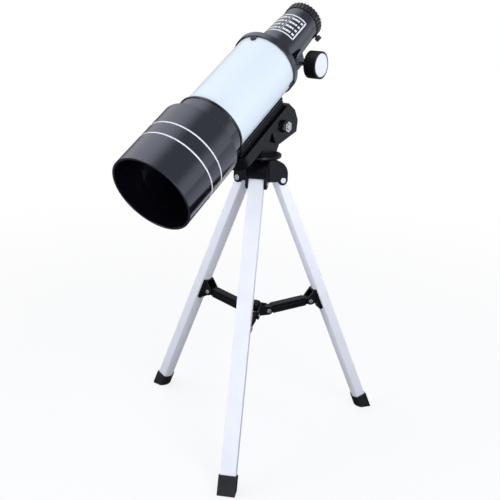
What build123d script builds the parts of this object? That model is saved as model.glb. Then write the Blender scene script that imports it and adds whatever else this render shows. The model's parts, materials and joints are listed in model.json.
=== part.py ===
"""A 70 mm tabletop refractor telescope on a folding three-legged stand.

Object frame: +Z up, origin on the floor under the pan axis.  The tube lies in the XZ plane, with its
eyepiece end towards +X and its objective end towards -X, nose down at the stored tilt.
Telescope coordinates: s runs along the tube from the objective collar to the eyepiece, v is the
height above the tube axis, and the width is the object's Y.  All lengths are millimetres.
"""
import os
from math import acos, atan2, cos, hypot, pi, radians, sin, sqrt, tan

from build123d import *

# ---- Clearances ----
RUNNING = 0.06          # radial, shafts and pins in their bores
SLIDING = 0.08          # radial, the draw tube in its housing
SIDE_GAP = 0.30         # between faces of two moving bodies
PRESSED = 0.02          # radial, pieces fixed in one another
SCREW_END_GAP = 0.5     # between a screw's end and the bottom of its hole
OVERCUT = 1.0           # how far a cutting shape stands beyond the solid
HULL_STRIP = 1.0        # thickness of the strip that a hull starts from

# ---- Tube assembly ----
TILT_DOWN = 30.6        # nose below level as stored, degrees
TUBE_R = 33.0
TUBE_WALL = 1.2
TUBE_LENGTH = 99.8
COLLAR_STEP = 2.4       # the collar stands out from the tube
COLLAR_R = TUBE_R + COLLAR_STEP
COLLAR_LENGTH = 18.0
COLLAR_LIP = 1.6
SPIGOT_LENGTH = 9.0
HOOD_STEP = 5.6         # the hood stands out from the collar
HOOD_R = COLLAR_R + HOOD_STEP
HOOD_WALL = 2.0
HOOD_LENGTH = 77.9
HOOD_BACK = 2.2
HOOD_EDGE = 1.2
HOOD_SEAT_STEP = 0.4    # the hood's bore narrows to hold the cell
HOOD_SEAT_GAP = 0.3     # from the step to the front of the cell
CELL_BARREL = 16.0      # length of the cell inside the hood
CELL_FIT = 0.15
CELL_SIDE = 3.35        # wall of the cell round the lenses
LENS_FIT = 0.10
LENS_RIM = 3.2
LENS_LEDGE = 3.0        # seat of the lenses in the cell
CELL_WALL = 1.4         # of the cell's spigot, measured from the tube's bore
CELL_TAPER = 6.0
LENS_SEAT_BACK = 2.0    # from the back of the barrel to the lens seat
FRONT_LENS_EDGE = 3.6
FRONT_LENS_SAG = 3.4
SPACER_THICK = 0.6
SPACER_WIDTH = 2.0
REAR_LENS_EDGE = 5.0
REAR_LENS_FRONT_SAG = 2.6
REAR_LENS_BACK_SAG = 0.6
RETAINER_THICK = 2.4
RETAINER_WIDTH = 2.5
BAFFLE_S = 52.0
BAFFLE_THICK = 1.4
BAFFLE_BORE = 23.0
BAFFLE_RIM = 6.0
TUBE_SCREW_BACK = 3.2   # from the tube's rear end
TUBE_SCREW_R = 1.5
TUBE_SCREW_HEAD_R = 3.1
TUBE_SCREW_HEAD = 1.5
TUBE_SCREW_LENGTH = 4.0
TUBE_SCREW_COUNT = 3
DRIVE_SHARE = 0.6       # length of a cross recess, in head diameters
DRIVE_WIDTH = 0.7
DRIVE_DEPTH = 0.6

# ---- Focuser ----
FLANGE_R = 34.8
FLANGE_THICK = 6.0
SHOULDER_LENGTH = 10.0
NECK_R = 22.4
HOUSING_END_R = 19.2
HOUSING_LENGTH = 75.4
HOUSING_STEP = 8.0      # from the rear end to the step line
STEP_DEPTH = 0.5
EYEPIECE_R = 15.95      # 1.25 inch eyepiece socket
EYEPIECE_DEPTH = 30.0
DRAW_R = 17.2
DRAW_INSIDE = 72.0      # length of draw tube inside the housing
DRAW_TRAVEL = 30.0
RING_R = 20.1
RING_LENGTH = 8.4
RING_GAP = 0.3
RING_FLUTES = 32
RING_FLUTE = 1.0
THUMB_ANGLE = 143.0     # from the top towards the knob side
THUMB_R = 1.5
THUMB_HEAD_R = 3.2
THUMB_HEAD = 4.2
THUMB_NECK = 1.3
MODULE = 0.8
PINION_TEETH = 10
RACK_ADDENDUM = 0.42
PINION_ADDENDUM = 0.70
TOOTH_CLEARANCE = 0.25
BACKLASH = 0.20
PRESSURE_ANGLE = 20.0
RACK_WIDTH = 5.0
RACK_BACK = 1.0
RACK_FLAT = 16.6        # depth of the flat on the draw tube under the axis
RACK_AHEAD = 13         # tooth pitches in front of the pinion
RACK_BEHIND = 3
PINION_BACK = 35.5      # from the housing's rear end
PINION_WIDTH = 7.0
SHAFT_R = 2.2
BLOCK_WIDTH = 22.0
BLOCK_LENGTH = 24.0
BLOCK_BELOW_SHAFT = 5.0
BLOCK_SINK = 0.7        # where the block starts, in parts of the bore's radius
CHANNEL_WIDTH = 13.0
CHANNEL_FLOOR = 2.0
COVER_THICK = 1.8
COVER_SCREW_R = 1.1
COVER_SCREW_HEAD_R = 2.0
COVER_SCREW_HEAD = 0.9
KNOB_R = 13.9
KNOB_LENGTH = 12.8
KNOB_INNER_Y = 26.0
KNOB_FLUTES = 30
KNOB_FLUTE = 0.5
KNOB_RIM = 2.1
KNOB_CAP = 1.2
KNOB_CAP_RISE = 0.5
KNOB_CAP_EDGE = 0.45
SPIGOT_WALL = 1.4
SHOULDER_R = 33.6
SHOULDER_LEAN = 0.7     # slopes of the shoulder's curve at its two ends
NECK_LEAN = 0.06
CHANNEL_S = 106.0
COVER_SCREW_SPREAD = 18.0
COVER_SCREW_DEEP = 5.0
COVER_CORNER = 2.0
DRAW_LIGHT_R = 14.6
THUMB_FLUTES = 12
THUMB_FLUTE = 0.7
KNOB_END = 3.0          # shaft end below the knob's face
KNOB_NECK = 4.0
KNOB_NECK_R = 5.0

# ---- Rail and tilt head ----
RAIL_START = 13.0
RAIL_END_GAP = 3.8      # from the rail's end to the tube's end
RAIL_HALF_TOP = 15.2
RAIL_HALF_FOOT = 13.0
RAIL_BOTTOM = 45.0      # below the tube axis
RAIL_RIDGES = 3
RAIL_GROOVE = 1.0
RAIL_BEVEL = 7.0
RAIL_SCREW_R = 2.0
RAIL_SCREW_HEAD_R = 3.6
RAIL_SCREW_HEAD = 1.6
RAIL_SCREW_DEEP = 8.0
RAIL_SCREW_IN = 15.0    # from each end of the rail
RAIL_BEVEL_LOW = 2.0    # heights of the bevel over the rail's foot and top edge
RAIL_BEVEL_HIGH = 3.0
PAD_INSET = 1.0
PAD_THICK = 1.0
PLATE_THICK = 4.0
PLATE_HALF = 15.5
PLATE_FRONT = 8.0
PLATE_SKIRT = 8.5
PLATE_WALL = 2.6
PLATE_CORNER = 11.0
REAR_STOP_GAP = 0.3
REAR_STOP = 3.0
REAR_STOP_RISE = 2.7
CHEEK_INSIDE = 9.8
CHEEK_THICK = 3.0
PIVOT_X = 21.3          # from the pan axis
PIVOT_RISE = 26.35      # above the pan disc
PIVOT_BACK = 8.6        # from the rail's end
PIVOT_V = -63.6         # from the tube axis
CHEEK_FRONT = 20.0
CHEEK_CHIN = 6.0
CHEEK_HEEL = 17.5
CHEEK_DROP = 20.0
CHEEK_REAR = 25.0
CHEEK_REAR_DROP = 10.5
CHEEK_ROUND = 5.0
CHEEK_CUT = 6.0         # front corner of a cheek
CHEEK_REAR_RISE = 2.4
CHEEK_SHOULDER = 18.4
CHEEK_SHOULDER_RISE = 15.4
CHEEK_BACK_ROUND = 12.0
SKIRT_SLOPE = 14.0      # rear end of the skirt, along the tube
TONGUE_HALF = 8.0
TONGUE_R = 9.5
TONGUE_FRONT = -13.0
TONGUE_REAR = 16.0
TILT_BOLT_R = 3.0
TILT_BOSS_R = 6.5
TILT_BOSS = 3.0
TILT_NUT_ACROSS = 10.0
TILT_NUT_THICK = 3.2
TILT_BOLT_END = 1.2
TILT_KNOB_R = 10.0
TILT_KNOB_LENGTH = 12.0
TILT_KNOB_LOBES = 5
TILT_KNOB_LOBE = 5.0
TILT_KNOB_LOBE_OUT = 3.0
TILT_KNOB_NECK = 2.0
TILT_KNOB_NECK_R = 6.0
TILT_KNOB_BITE = 9.0
TILT_WASHER_R = 8.6
MOUNT_SCREW_S = 45.0
MOUNT_SCREW_R = 3.175   # 1/4 inch photo thread
MOUNT_SCREW_HEAD_R = 8.0
MOUNT_SCREW_HEAD = 3.4
MOUNT_SCREW_DEEP = 6.0
MOUNT_SCREW_FLUTES = 16

# ---- Pan base and crown ----
PAN_HEIGHT = 5.5        # neck and disc
PAN_DISC_R = 21.3
PAN_DISC = 4.0
PAN_EDGE = 1.4
PAN_NECK_R = 11.5
PAN_GAP = 0.2           # over the washer
PAN_WASHER = 0.8
PAN_WASHER_R = 10.0
PAN_BOLT_R = 3.5
PAN_BOLT_HEAD_R = 6.4
PAN_BOLT_HEAD = 4.0
PAN_BOLT_BITE = 10.0
CROWN_OVER_PIN = 21.0
CROWN_WALL = 2.8
CROWN_CORE_R = 11.5
CROWN_CORE_HEIGHT = 17.0
CROWN_EAR_DROP = 5.4   # ears below the leg pin
CROWN_EAR_HALF = 4.8
CROWN_LIP = 0.4         # crown's end beyond its ears
CROWN_ROOF_HEIGHT = 15.0 # from the top to the outer walls' lower edge
CROWN_SIDE_DROP = 1.5   # side walls below the leg pin
CROWN_SHOULDER_R = 11.0
CROWN_BULGE = 1.02      # roundness of a crown arm, outwards and upwards
CROWN_RISE = 1.0

# ---- Legs and spreader ----
LEG_AZIMUTHS = {"front": -154.5, "left": 85.5, "right": -34.5}
LEG_PIN_R = 21.5        # from the pan axis
LEG_PIN_Z = 282.0
FOOT_REACH = 142.6
LEG_WIDTH = 15.4
LEG_OUTER = 4.4         # from the pin to the outer face
LEG_INNER = 8.2         # from the pin to the crest of the inner face
LEG_SIDE = 9.6          # flat side wall
LEG_WALL = 1.2
LEG_TOP = 4.2           # above the pin
FOOT_HEIGHT = 17.5
FOOT_WALL = 1.3
FOOT_PLUG = 9.0         # solid rubber under the end of the leg
PIN_R = 2.0
PIN_HEAD_R = 2.9
PIN_HEAD = 1.0
BRACKET_DOWN = 145.0    # from the leg pin to the bracket pin, along the leg
BRACKET_OUT = 16.6      # from the line through the leg pin to the bracket pin
BRACKET_LENGTH = 25.0
BRACKET_BASE = 1.6
BRACKET_UP = 9.8        # plate above the bracket pin
BRACKET_ROUND = 1.0
EAR_THICK = 1.8
EAR_R = 4.4
EAR_FOOT = 15.0
SPREADER_PIN_R = 1.5
RIVET_HEAD_R = 2.3
RIVET_HEAD = 0.8
ARM_WIDTH = 9.0
ARM_DEPTH = 9.4
ARM_END_DEPTH = 7.4
ARM_SHOULDER = 5.6
ARM_FLUTES = 2
ARM_FLUTE_DEPTH = 0.7
ARM_RIB = 1.3
ARM_EDGE_SHARE = 0.5    # edge ribs together, in flutes
ARM_NOSE = 3.6
HUB_PIN_R = 14.0        # from the pan axis
HUB_PIN_Z = 136.0
HUB_CORE_R = 7.4
HUB_ROOF_GAP = 1.1
HUB_ROOF = 2.4
HUB_EAR_START = 3.4
HUB_CAP_R = 6.2
HUB_CAP_SIDE = 1.2
HUB_CAP_HEIGHT = 3.6
LEG_FOLD = 21.2         # from open to closed, degrees

# ---- Derived frames ----
down = radians(TILT_DOWN)
AXIS = Vector(cos(down), 0, sin(down))
UP = Vector(-sin(down), 0, cos(down))
LEG_ANGLE = atan2(FOOT_REACH - LEG_PIN_R, LEG_PIN_Z)
CROWN_TOP = LEG_PIN_Z + CROWN_OVER_PIN
CROWN_CORE_BOTTOM = CROWN_TOP - CROWN_CORE_HEIGHT
CROWN_WALL_BOTTOM = CROWN_TOP - CROWN_ROOF_HEIGHT
CROWN_FAN_BOTTOM = LEG_PIN_Z - CROWN_SIDE_DROP
PAN_FOOT_Z = CROWN_TOP + PAN_WASHER + PAN_GAP
PAN_TOP = PAN_FOOT_Z + PAN_HEIGHT
RAIL_END_S = TUBE_LENGTH - RAIL_END_GAP
RAIL_LENGTH = RAIL_END_S - RAIL_START
PIVOT_S = RAIL_END_S - PIVOT_BACK
PIVOT = Vector(PIVOT_X, 0, PAN_TOP + PIVOT_RISE)
COLLAR = PIVOT - AXIS * PIVOT_S - UP * PIVOT_V


def at(s, v=0.0, y=0.0):
    """Point in telescope coordinates."""
    return COLLAR + AXIS * s + UP * v + Vector(0, y, 0)


def across(s, v=0.0):
    """Plane square to the tube axis: local x is the object's Y, local y points up."""
    return Plane(origin=at(s, v), x_dir=(0, 1, 0), z_dir=AXIS)


def beside(y):
    """Plane along the tube at width y: local x is s, local y is v."""
    return Plane(origin=at(0, 0, y), x_dir=AXIS, z_dir=(0, -1, 0))


TUBE_AXIS = Axis(COLLAR, AXIS)
LENGTHWISE = beside(0)


def radial(azimuth, side=0.0):
    """Upright plane through the pan axis: local x points out, local y is the object's Z."""
    a = radians(azimuth)
    normal = Vector(sin(a), -cos(a), 0)
    return Plane(origin=normal * side, x_dir=(cos(a), sin(a), 0), z_dir=normal)


def leg_plane(azimuth, along, out=0.0):
    """Plane square to a leg, a distance below its pin: local x is the width, local y points inwards."""
    a = radians(azimuth)
    outward = Vector(cos(a), sin(a), 0)
    axis = outward * sin(LEG_ANGLE) + Vector(0, 0, -cos(LEG_ANGLE))
    inward = outward * -cos(LEG_ANGLE) + Vector(0, 0, -sin(LEG_ANGLE))
    pin = outward * LEG_PIN_R + Vector(0, 0, LEG_PIN_Z)
    return Plane(origin=pin + axis * along + inward * out, x_dir=inward.cross(axis), z_dir=axis)


def ring(s_start, s_end, outer, inner):
    """Ring about the tube axis between two stations."""
    with BuildPart() as made:
        with BuildSketch(across(s_start)):
            Circle(outer)
            Circle(inner, mode=Mode.SUBTRACT)
        extrude(amount=s_end - s_start)
    return made.part


parts = {}

# ---- Objective ----
HOOD_BACK_S = -COLLAR_LENGTH
HOOD_FRONT_S = HOOD_BACK_S - HOOD_LENGTH
BARREL_BACK_S = HOOD_BACK_S - HOOD_BACK
HOOD_SEAT_R = HOOD_R - HOOD_WALL - HOOD_SEAT_STEP
BARREL_FRONT_S = BARREL_BACK_S - CELL_BARREL
BARREL_R = HOOD_SEAT_R - CELL_FIT
LENS_R = BARREL_R - CELL_SIDE - LENS_FIT
RETAINER_BORE = LENS_R + LENS_FIT - RETAINER_WIDTH
LENS_SEAT_S = BARREL_BACK_S - LENS_SEAT_BACK
REAR_LENS_FRONT_S = LENS_SEAT_S - REAR_LENS_EDGE
FRONT_LENS_BACK_S = REAR_LENS_FRONT_S - SPACER_THICK
FRONT_LENS_FRONT_S = FRONT_LENS_BACK_S - FRONT_LENS_EDGE
TUBE_BORE = TUBE_R - TUBE_WALL
CELL_CLEAR = TUBE_BORE - CELL_WALL


def lens_half(front, front_sag, back, back_sag):
    """Half section of a lens with a flat rim; a positive sag bulges towards the sky."""
    clear = LENS_R - LENS_RIM

    def face(edge, sag):
        sphere = (clear ** 2 + sag ** 2) / (2 * abs(sag))
        half_way = sphere - sqrt(sphere ** 2 - clear ** 2 / 4)
        apex = edge - sag
        return apex, apex + half_way * (1 if sag > 0 else -1)

    front_apex, front_middle = face(front, front_sag)
    back_apex, back_middle = face(back, back_sag)
    ThreePointArc((front_apex, 0), (front_middle, clear / 2), (front, clear))
    Polyline((front, clear), (front, LENS_R), (back, LENS_R), (back, clear))
    ThreePointArc((back, clear), (back_middle, clear / 2), (back_apex, 0))
    Line((back_apex, 0), (front_apex, 0))


with BuildPart() as dew_shield:
    with BuildSketch(across(HOOD_FRONT_S)):
        Circle(HOOD_R)
    extrude(amount=HOOD_LENGTH)
    with BuildSketch(across(HOOD_FRONT_S)):
        Circle(HOOD_R - HOOD_WALL)
    extrude(amount=BARREL_FRONT_S - HOOD_SEAT_GAP - HOOD_FRONT_S, mode=Mode.SUBTRACT)
    with BuildSketch(across(HOOD_FRONT_S)):
        Circle(HOOD_SEAT_R)
    extrude(amount=HOOD_LENGTH - HOOD_BACK, mode=Mode.SUBTRACT)
    with BuildSketch(across(BARREL_BACK_S)):
        Circle(COLLAR_R - COLLAR_LIP / 2 + CELL_FIT)
    extrude(amount=HOOD_BACK, mode=Mode.SUBTRACT)
    rear_edges = dew_shield.edges().filter_by(GeomType.CIRCLE).group_by(TUBE_AXIS)[-1]
    fillet(rear_edges.sort_by(SortBy.RADIUS)[-1], radius=HOOD_EDGE)

with BuildPart() as objective_cell:
    with BuildSketch(LENGTHWISE):
        with BuildLine():
            Polyline((BARREL_FRONT_S, LENS_R + LENS_FIT), (BARREL_FRONT_S, BARREL_R),
                     (BARREL_BACK_S, BARREL_R), (BARREL_BACK_S, COLLAR_R - COLLAR_LIP / 2),
                     (-COLLAR_LIP, COLLAR_R - COLLAR_LIP / 2), (-COLLAR_LIP, COLLAR_R), (0, COLLAR_R),
                     (0, TUBE_BORE - PRESSED), (SPIGOT_LENGTH, TUBE_BORE - PRESSED),
                     (SPIGOT_LENGTH, CELL_CLEAR),
                     (LENS_SEAT_S + CELL_TAPER, CELL_CLEAR), (LENS_SEAT_S, LENS_R - LENS_LEDGE),
                     (LENS_SEAT_S, LENS_R + LENS_FIT), close=True)
        make_face()
    revolve(axis=TUBE_AXIS)

with BuildPart() as objective_front_lens:
    with BuildSketch(LENGTHWISE):
        with BuildLine():
            lens_half(FRONT_LENS_FRONT_S, FRONT_LENS_SAG, FRONT_LENS_BACK_S, -REAR_LENS_FRONT_SAG)
        make_face()
    revolve(axis=TUBE_AXIS)

with BuildPart() as objective_rear_lens:
    with BuildSketch(LENGTHWISE):
        with BuildLine():
            lens_half(REAR_LENS_FRONT_S, -REAR_LENS_FRONT_SAG, LENS_SEAT_S, -REAR_LENS_BACK_SAG)
        make_face()
    revolve(axis=TUBE_AXIS)

parts["dew_shield"] = dew_shield.part
parts["objective_cell"] = objective_cell.part
parts["objective_front_lens"] = objective_front_lens.part
parts["objective_rear_lens"] = objective_rear_lens.part
parts["lens_spacer"] = ring(FRONT_LENS_BACK_S, REAR_LENS_FRONT_S, LENS_R, LENS_R - SPACER_WIDTH)
parts["lens_retaining_ring"] = ring(FRONT_LENS_FRONT_S - RETAINER_THICK, FRONT_LENS_FRONT_S,
                                    LENS_R + LENS_FIT - PRESSED, RETAINER_BORE)

# ---- Main tube ----
SCREW_S = TUBE_LENGTH - TUBE_SCREW_BACK
SCREW_ANGLES = [90 + i * 360 / TUBE_SCREW_COUNT for i in range(TUBE_SCREW_COUNT)]
RAIL_SCREWS_S = (RAIL_START + RAIL_SCREW_IN, RAIL_END_S - RAIL_SCREW_IN)
RAIL_SCREW_SEAT = -sqrt(TUBE_BORE ** 2 - RAIL_SCREW_HEAD_R ** 2)


def outward(s, angle, radius):
    """Plane facing away from the tube axis; angle 90 is up, 180 is the knob side."""
    a = radians(angle)
    out = Vector(0, cos(a), 0) + UP * sin(a)
    return Plane(origin=at(s) + out * radius, x_dir=AXIS, z_dir=out)


with BuildPart() as main_tube:
    with BuildSketch(across(0)):
        Circle(TUBE_R)
        Circle(TUBE_BORE, mode=Mode.SUBTRACT)
    extrude(amount=TUBE_LENGTH)
    for angle in SCREW_ANGLES:
        with BuildSketch(outward(SCREW_S, angle, TUBE_BORE - TUBE_WALL)):
            Circle(TUBE_SCREW_R + PRESSED)
        extrude(amount=TUBE_WALL * 3, mode=Mode.SUBTRACT)
    for s in RAIL_SCREWS_S:
        with BuildSketch(outward(s, 270, TUBE_BORE - TUBE_WALL)):
            Circle(RAIL_SCREW_R + PRESSED)
        extrude(amount=TUBE_WALL * 3, mode=Mode.SUBTRACT)

with BuildPart() as tube_baffle:
    with BuildSketch(LENGTHWISE):
        with BuildLine():
            Polyline((BAFFLE_S, BAFFLE_BORE), (BAFFLE_S, TUBE_BORE - PRESSED),
                     (BAFFLE_S + BAFFLE_RIM, TUBE_BORE - PRESSED),
                     (BAFFLE_S + BAFFLE_RIM, TUBE_BORE - BAFFLE_THICK),
                     (BAFFLE_S + BAFFLE_THICK, TUBE_BORE - BAFFLE_THICK),
                     (BAFFLE_S + BAFFLE_THICK, BAFFLE_BORE), close=True)
        make_face()
    revolve(axis=TUBE_AXIS)

with BuildPart() as tube_screws:
    for angle in SCREW_ANGLES:
        with BuildSketch(outward(SCREW_S, angle, TUBE_R + TUBE_SCREW_HEAD - TUBE_SCREW_LENGTH)):
            Circle(TUBE_SCREW_R)
        extrude(amount=TUBE_SCREW_LENGTH)
        with BuildSketch(outward(SCREW_S, angle, TUBE_R)):
            Circle(TUBE_SCREW_HEAD_R)
        extrude(amount=TUBE_SCREW_HEAD)
        with BuildSketch(outward(SCREW_S, angle, TUBE_R + TUBE_SCREW_HEAD)):
            Rectangle(2 * TUBE_SCREW_HEAD_R * DRIVE_SHARE, DRIVE_WIDTH)
            Rectangle(DRIVE_WIDTH, 2 * TUBE_SCREW_HEAD_R * DRIVE_SHARE)
        extrude(amount=-DRIVE_DEPTH, mode=Mode.SUBTRACT)

parts["main_tube"] = main_tube.part
parts["tube_baffle"] = tube_baffle.part
parts["tube_screws"] = tube_screws.part

# ---- Focuser ----
HOUSING_END_S = TUBE_LENGTH + HOUSING_LENGTH
NECK_S = TUBE_LENGTH + FLANGE_THICK + SHOULDER_LENGTH
DRAW_BORE = DRAW_R + SLIDING
PINION_S = HOUSING_END_S - PINION_BACK
PITCH = pi * MODULE
PITCH_R = MODULE * PINION_TEETH / 2
RACK_DEDENDUM = PINION_ADDENDUM + TOOTH_CLEARANCE
RACK_ROOT_V = -RACK_FLAT - RACK_BACK
RACK_PITCH_V = RACK_ROOT_V - RACK_DEDENDUM
RACK_TIP_V = RACK_PITCH_V - RACK_ADDENDUM
PINION_V = RACK_PITCH_V - PITCH_R
PINION_TIP_R = PITCH_R + PINION_ADDENDUM
PINION_ROOT_R = PITCH_R - RACK_ADDENDUM - TOOTH_CLEARANCE
CHANNEL_V = RACK_TIP_V - SIDE_GAP
BLOCK_V = PINION_V - BLOCK_BELOW_SHAFT
BLOCK_TOP_V = -DRAW_BORE * BLOCK_SINK
RING_S = HOUSING_END_S + RING_GAP
RING_END_S = RING_S + RING_LENGTH
SPIGOT_R = TUBE_BORE - PRESSED


def shaft_plane(y):
    """Plane square to the pinion shaft, centred on it."""
    return Plane(origin=at(PINION_S, PINION_V, y), x_dir=AXIS, z_dir=(0, -1, 0))


with BuildPart() as focuser_housing:
    with BuildSketch(LENGTHWISE):
        with BuildLine():
            spigot_front = TUBE_LENGTH - SPIGOT_LENGTH
            flange_back = TUBE_LENGTH + FLANGE_THICK
            step_s = HOUSING_END_S - HOUSING_STEP
            Polyline((spigot_front, 0), (spigot_front, SPIGOT_R), (TUBE_LENGTH, SPIGOT_R),
                     (TUBE_LENGTH, FLANGE_R), (flange_back, FLANGE_R), (flange_back, SHOULDER_R))
            Spline((flange_back, SHOULDER_R), (NECK_S, NECK_R),
                   tangents=[(1, -SHOULDER_LEAN), (1, -NECK_LEAN)])
            Polyline((NECK_S, NECK_R), (step_s, HOUSING_END_R + STEP_DEPTH), (step_s, HOUSING_END_R),
                     (HOUSING_END_S, HOUSING_END_R), (HOUSING_END_S, 0), (spigot_front, 0))
        make_face()
    revolve(axis=TUBE_AXIS)
    with BuildSketch(across(CHANNEL_S)):
        with Locations((0, (CHANNEL_V - CHANNEL_FLOOR) / 2)):
            Rectangle(CHANNEL_WIDTH, CHANNEL_FLOOR - CHANNEL_V)
    extrude(amount=HOUSING_END_S - CHANNEL_S)
    with BuildSketch(shaft_plane(BLOCK_WIDTH / 2)):
        with Locations((0, (BLOCK_TOP_V + BLOCK_V) / 2 - PINION_V)):
            Rectangle(BLOCK_LENGTH, BLOCK_TOP_V - BLOCK_V)
    extrude(amount=BLOCK_WIDTH)
    with BuildSketch(LENGTHWISE):
        with BuildLine():
            inside_r = SPIGOT_R - SPIGOT_WALL
            Polyline((spigot_front, 0), (spigot_front, inside_r), (flange_back - SPIGOT_WALL, inside_r),
                     (NECK_S - SPIGOT_WALL, DRAW_BORE), (HOUSING_END_S, DRAW_BORE), (HOUSING_END_S, 0),
                     close=True)
        make_face()
    revolve(axis=TUBE_AXIS, mode=Mode.SUBTRACT)
    with BuildSketch(across(TUBE_LENGTH)):
        with Locations((0, CHANNEL_V / 2)):
            Rectangle(RACK_WIDTH + 2 * SIDE_GAP, -CHANNEL_V)
    extrude(amount=HOUSING_LENGTH, mode=Mode.SUBTRACT)
    with BuildSketch(shaft_plane(PINION_WIDTH / 2 + SIDE_GAP)):
        Circle(PINION_TIP_R + SIDE_GAP)
        with Locations((0, -BLOCK_BELOW_SHAFT / 2)):
            Rectangle(2 * (PINION_TIP_R + SIDE_GAP), BLOCK_BELOW_SHAFT)
    extrude(amount=PINION_WIDTH + 2 * SIDE_GAP, mode=Mode.SUBTRACT)
    with BuildSketch(shaft_plane(BLOCK_WIDTH)):
        Circle(SHAFT_R + RUNNING)
    extrude(amount=2 * BLOCK_WIDTH, mode=Mode.SUBTRACT)
    for angle in SCREW_ANGLES:
        with BuildSketch(outward(SCREW_S, angle, SPIGOT_R - SPIGOT_WALL * 2)):
            Circle(TUBE_SCREW_R + PRESSED)
        extrude(amount=SPIGOT_WALL * 2 + PRESSED, mode=Mode.SUBTRACT)
    with BuildSketch(Plane(origin=at(PINION_S, BLOCK_V), x_dir=AXIS, z_dir=UP)):
        with GridLocations(COVER_SCREW_SPREAD, 0, 2, 1):
            Circle(COVER_SCREW_R + PRESSED)
    extrude(amount=COVER_SCREW_DEEP, mode=Mode.SUBTRACT)


def cover_plane(below, facing):
    """Plane under the pinion cover; local x runs along the tube."""
    return Plane(origin=at(PINION_S, BLOCK_V - COVER_THICK - below), x_dir=AXIS, z_dir=facing)


with BuildPart() as pinion_cover:
    with BuildSketch(cover_plane(0, UP)):
        RectangleRounded(BLOCK_LENGTH, BLOCK_WIDTH, COVER_CORNER)
        with GridLocations(COVER_SCREW_SPREAD, 0, 2, 1):
            Circle(COVER_SCREW_R + PRESSED, mode=Mode.SUBTRACT)
    extrude(amount=COVER_THICK)

with BuildPart() as pinion_cover_screws:
    with BuildSketch(cover_plane(0, UP)):
        with GridLocations(COVER_SCREW_SPREAD, 0, 2, 1):
            Circle(COVER_SCREW_R)
    extrude(amount=COVER_THICK + COVER_SCREW_DEEP - SCREW_END_GAP)
    with BuildSketch(cover_plane(0, -UP)):
        with GridLocations(COVER_SCREW_SPREAD, 0, 2, 1):
            Circle(COVER_SCREW_HEAD_R)
    extrude(amount=COVER_SCREW_HEAD)
    with BuildSketch(cover_plane(COVER_SCREW_HEAD, -UP)):
        with GridLocations(COVER_SCREW_SPREAD, 0, 2, 1):
            Rectangle(2 * COVER_SCREW_HEAD_R * DRIVE_SHARE, DRIVE_WIDTH)
            Rectangle(DRIVE_WIDTH, 2 * COVER_SCREW_HEAD_R * DRIVE_SHARE)
    extrude(amount=-DRIVE_DEPTH, mode=Mode.SUBTRACT)

parts["focuser_housing"] = focuser_housing.part
parts["pinion_cover"] = pinion_cover.part
parts["pinion_cover_screws"] = pinion_cover_screws.part

# ---- Draw tube, rack and eyepiece socket ----
THUMB_RADIAL = 90 + THUMB_ANGLE
THUMB_S = RING_S + RING_LENGTH / 2

with BuildPart() as draw_tube:
    with BuildSketch(LENGTHWISE):
        with BuildLine():
            front = HOUSING_END_S - DRAW_INSIDE
            socket_floor = RING_END_S - EYEPIECE_DEPTH
            Polyline((front, DRAW_LIGHT_R), (front, DRAW_R), (RING_END_S, DRAW_R), (RING_END_S, EYEPIECE_R),
                     (socket_floor, EYEPIECE_R), (socket_floor, DRAW_LIGHT_R), close=True)
        make_face()
    revolve(axis=TUBE_AXIS)
    with BuildSketch(across(front)):
        with Locations((0, -RACK_FLAT - DRAW_R / 2)):
            Rectangle(2 * DRAW_R, DRAW_R)
    extrude(amount=DRAW_INSIDE, mode=Mode.SUBTRACT)
    with BuildSketch(outward(THUMB_S, THUMB_RADIAL, DRAW_LIGHT_R)):
        Circle(THUMB_R + RUNNING)
    extrude(amount=DRAW_R, mode=Mode.SUBTRACT)


def rack_outline():
    """Toothed edge of the rack in telescope coordinates, with a tooth space over the pinion."""
    lean = tan(radians(PRESSURE_ANGLE))
    half_tooth = PITCH / 4 - BACKLASH / 4
    tip_half = half_tooth - RACK_ADDENDUM * lean
    root_half = half_tooth + RACK_DEDENDUM * lean
    points = [(PINION_S - RACK_AHEAD * PITCH, -RACK_FLAT), (PINION_S - RACK_AHEAD * PITCH, RACK_ROOT_V)]
    for tooth in range(-RACK_AHEAD, RACK_BEHIND):
        centre = PINION_S + (tooth + 0.5) * PITCH
        points += [(centre - root_half, RACK_ROOT_V), (centre - tip_half, RACK_TIP_V),
                   (centre + tip_half, RACK_TIP_V), (centre + root_half, RACK_ROOT_V)]
    end = PINION_S + RACK_BEHIND * PITCH
    return points + [(end, RACK_ROOT_V), (end, -RACK_FLAT)]


with BuildPart() as focus_rack:
    with BuildSketch(beside(RACK_WIDTH / 2)):
        with BuildLine():
            Polyline(*rack_outline(), close=True)
        make_face()
    extrude(amount=RACK_WIDTH)

with BuildPart() as eyepiece_ring:
    with BuildSketch(across(RING_S)):
        Circle(RING_R)
        Circle(DRAW_R + PRESSED, mode=Mode.SUBTRACT)
        with PolarLocations(RING_R, RING_FLUTES):
            Rectangle(RING_FLUTE * sqrt(2), RING_FLUTE * sqrt(2), rotation=45, mode=Mode.SUBTRACT)
    extrude(amount=RING_LENGTH)
    with BuildSketch(outward(THUMB_S, THUMB_RADIAL, EYEPIECE_R)):
        Circle(THUMB_R + RUNNING)
    extrude(amount=RING_R, mode=Mode.SUBTRACT)

with BuildPart() as eyepiece_thumbscrew:
    with BuildSketch(outward(THUMB_S, THUMB_RADIAL, EYEPIECE_R + SIDE_GAP)):
        Circle(THUMB_R)
    extrude(amount=RING_R + THUMB_NECK - EYEPIECE_R - SIDE_GAP)
    with BuildSketch(outward(THUMB_S, THUMB_RADIAL, RING_R + THUMB_NECK)):
        Circle(THUMB_HEAD_R)
        with PolarLocations(THUMB_HEAD_R, THUMB_FLUTES):
            Rectangle(THUMB_FLUTE, THUMB_FLUTE, rotation=45, mode=Mode.SUBTRACT)
    extrude(amount=THUMB_HEAD)

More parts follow.
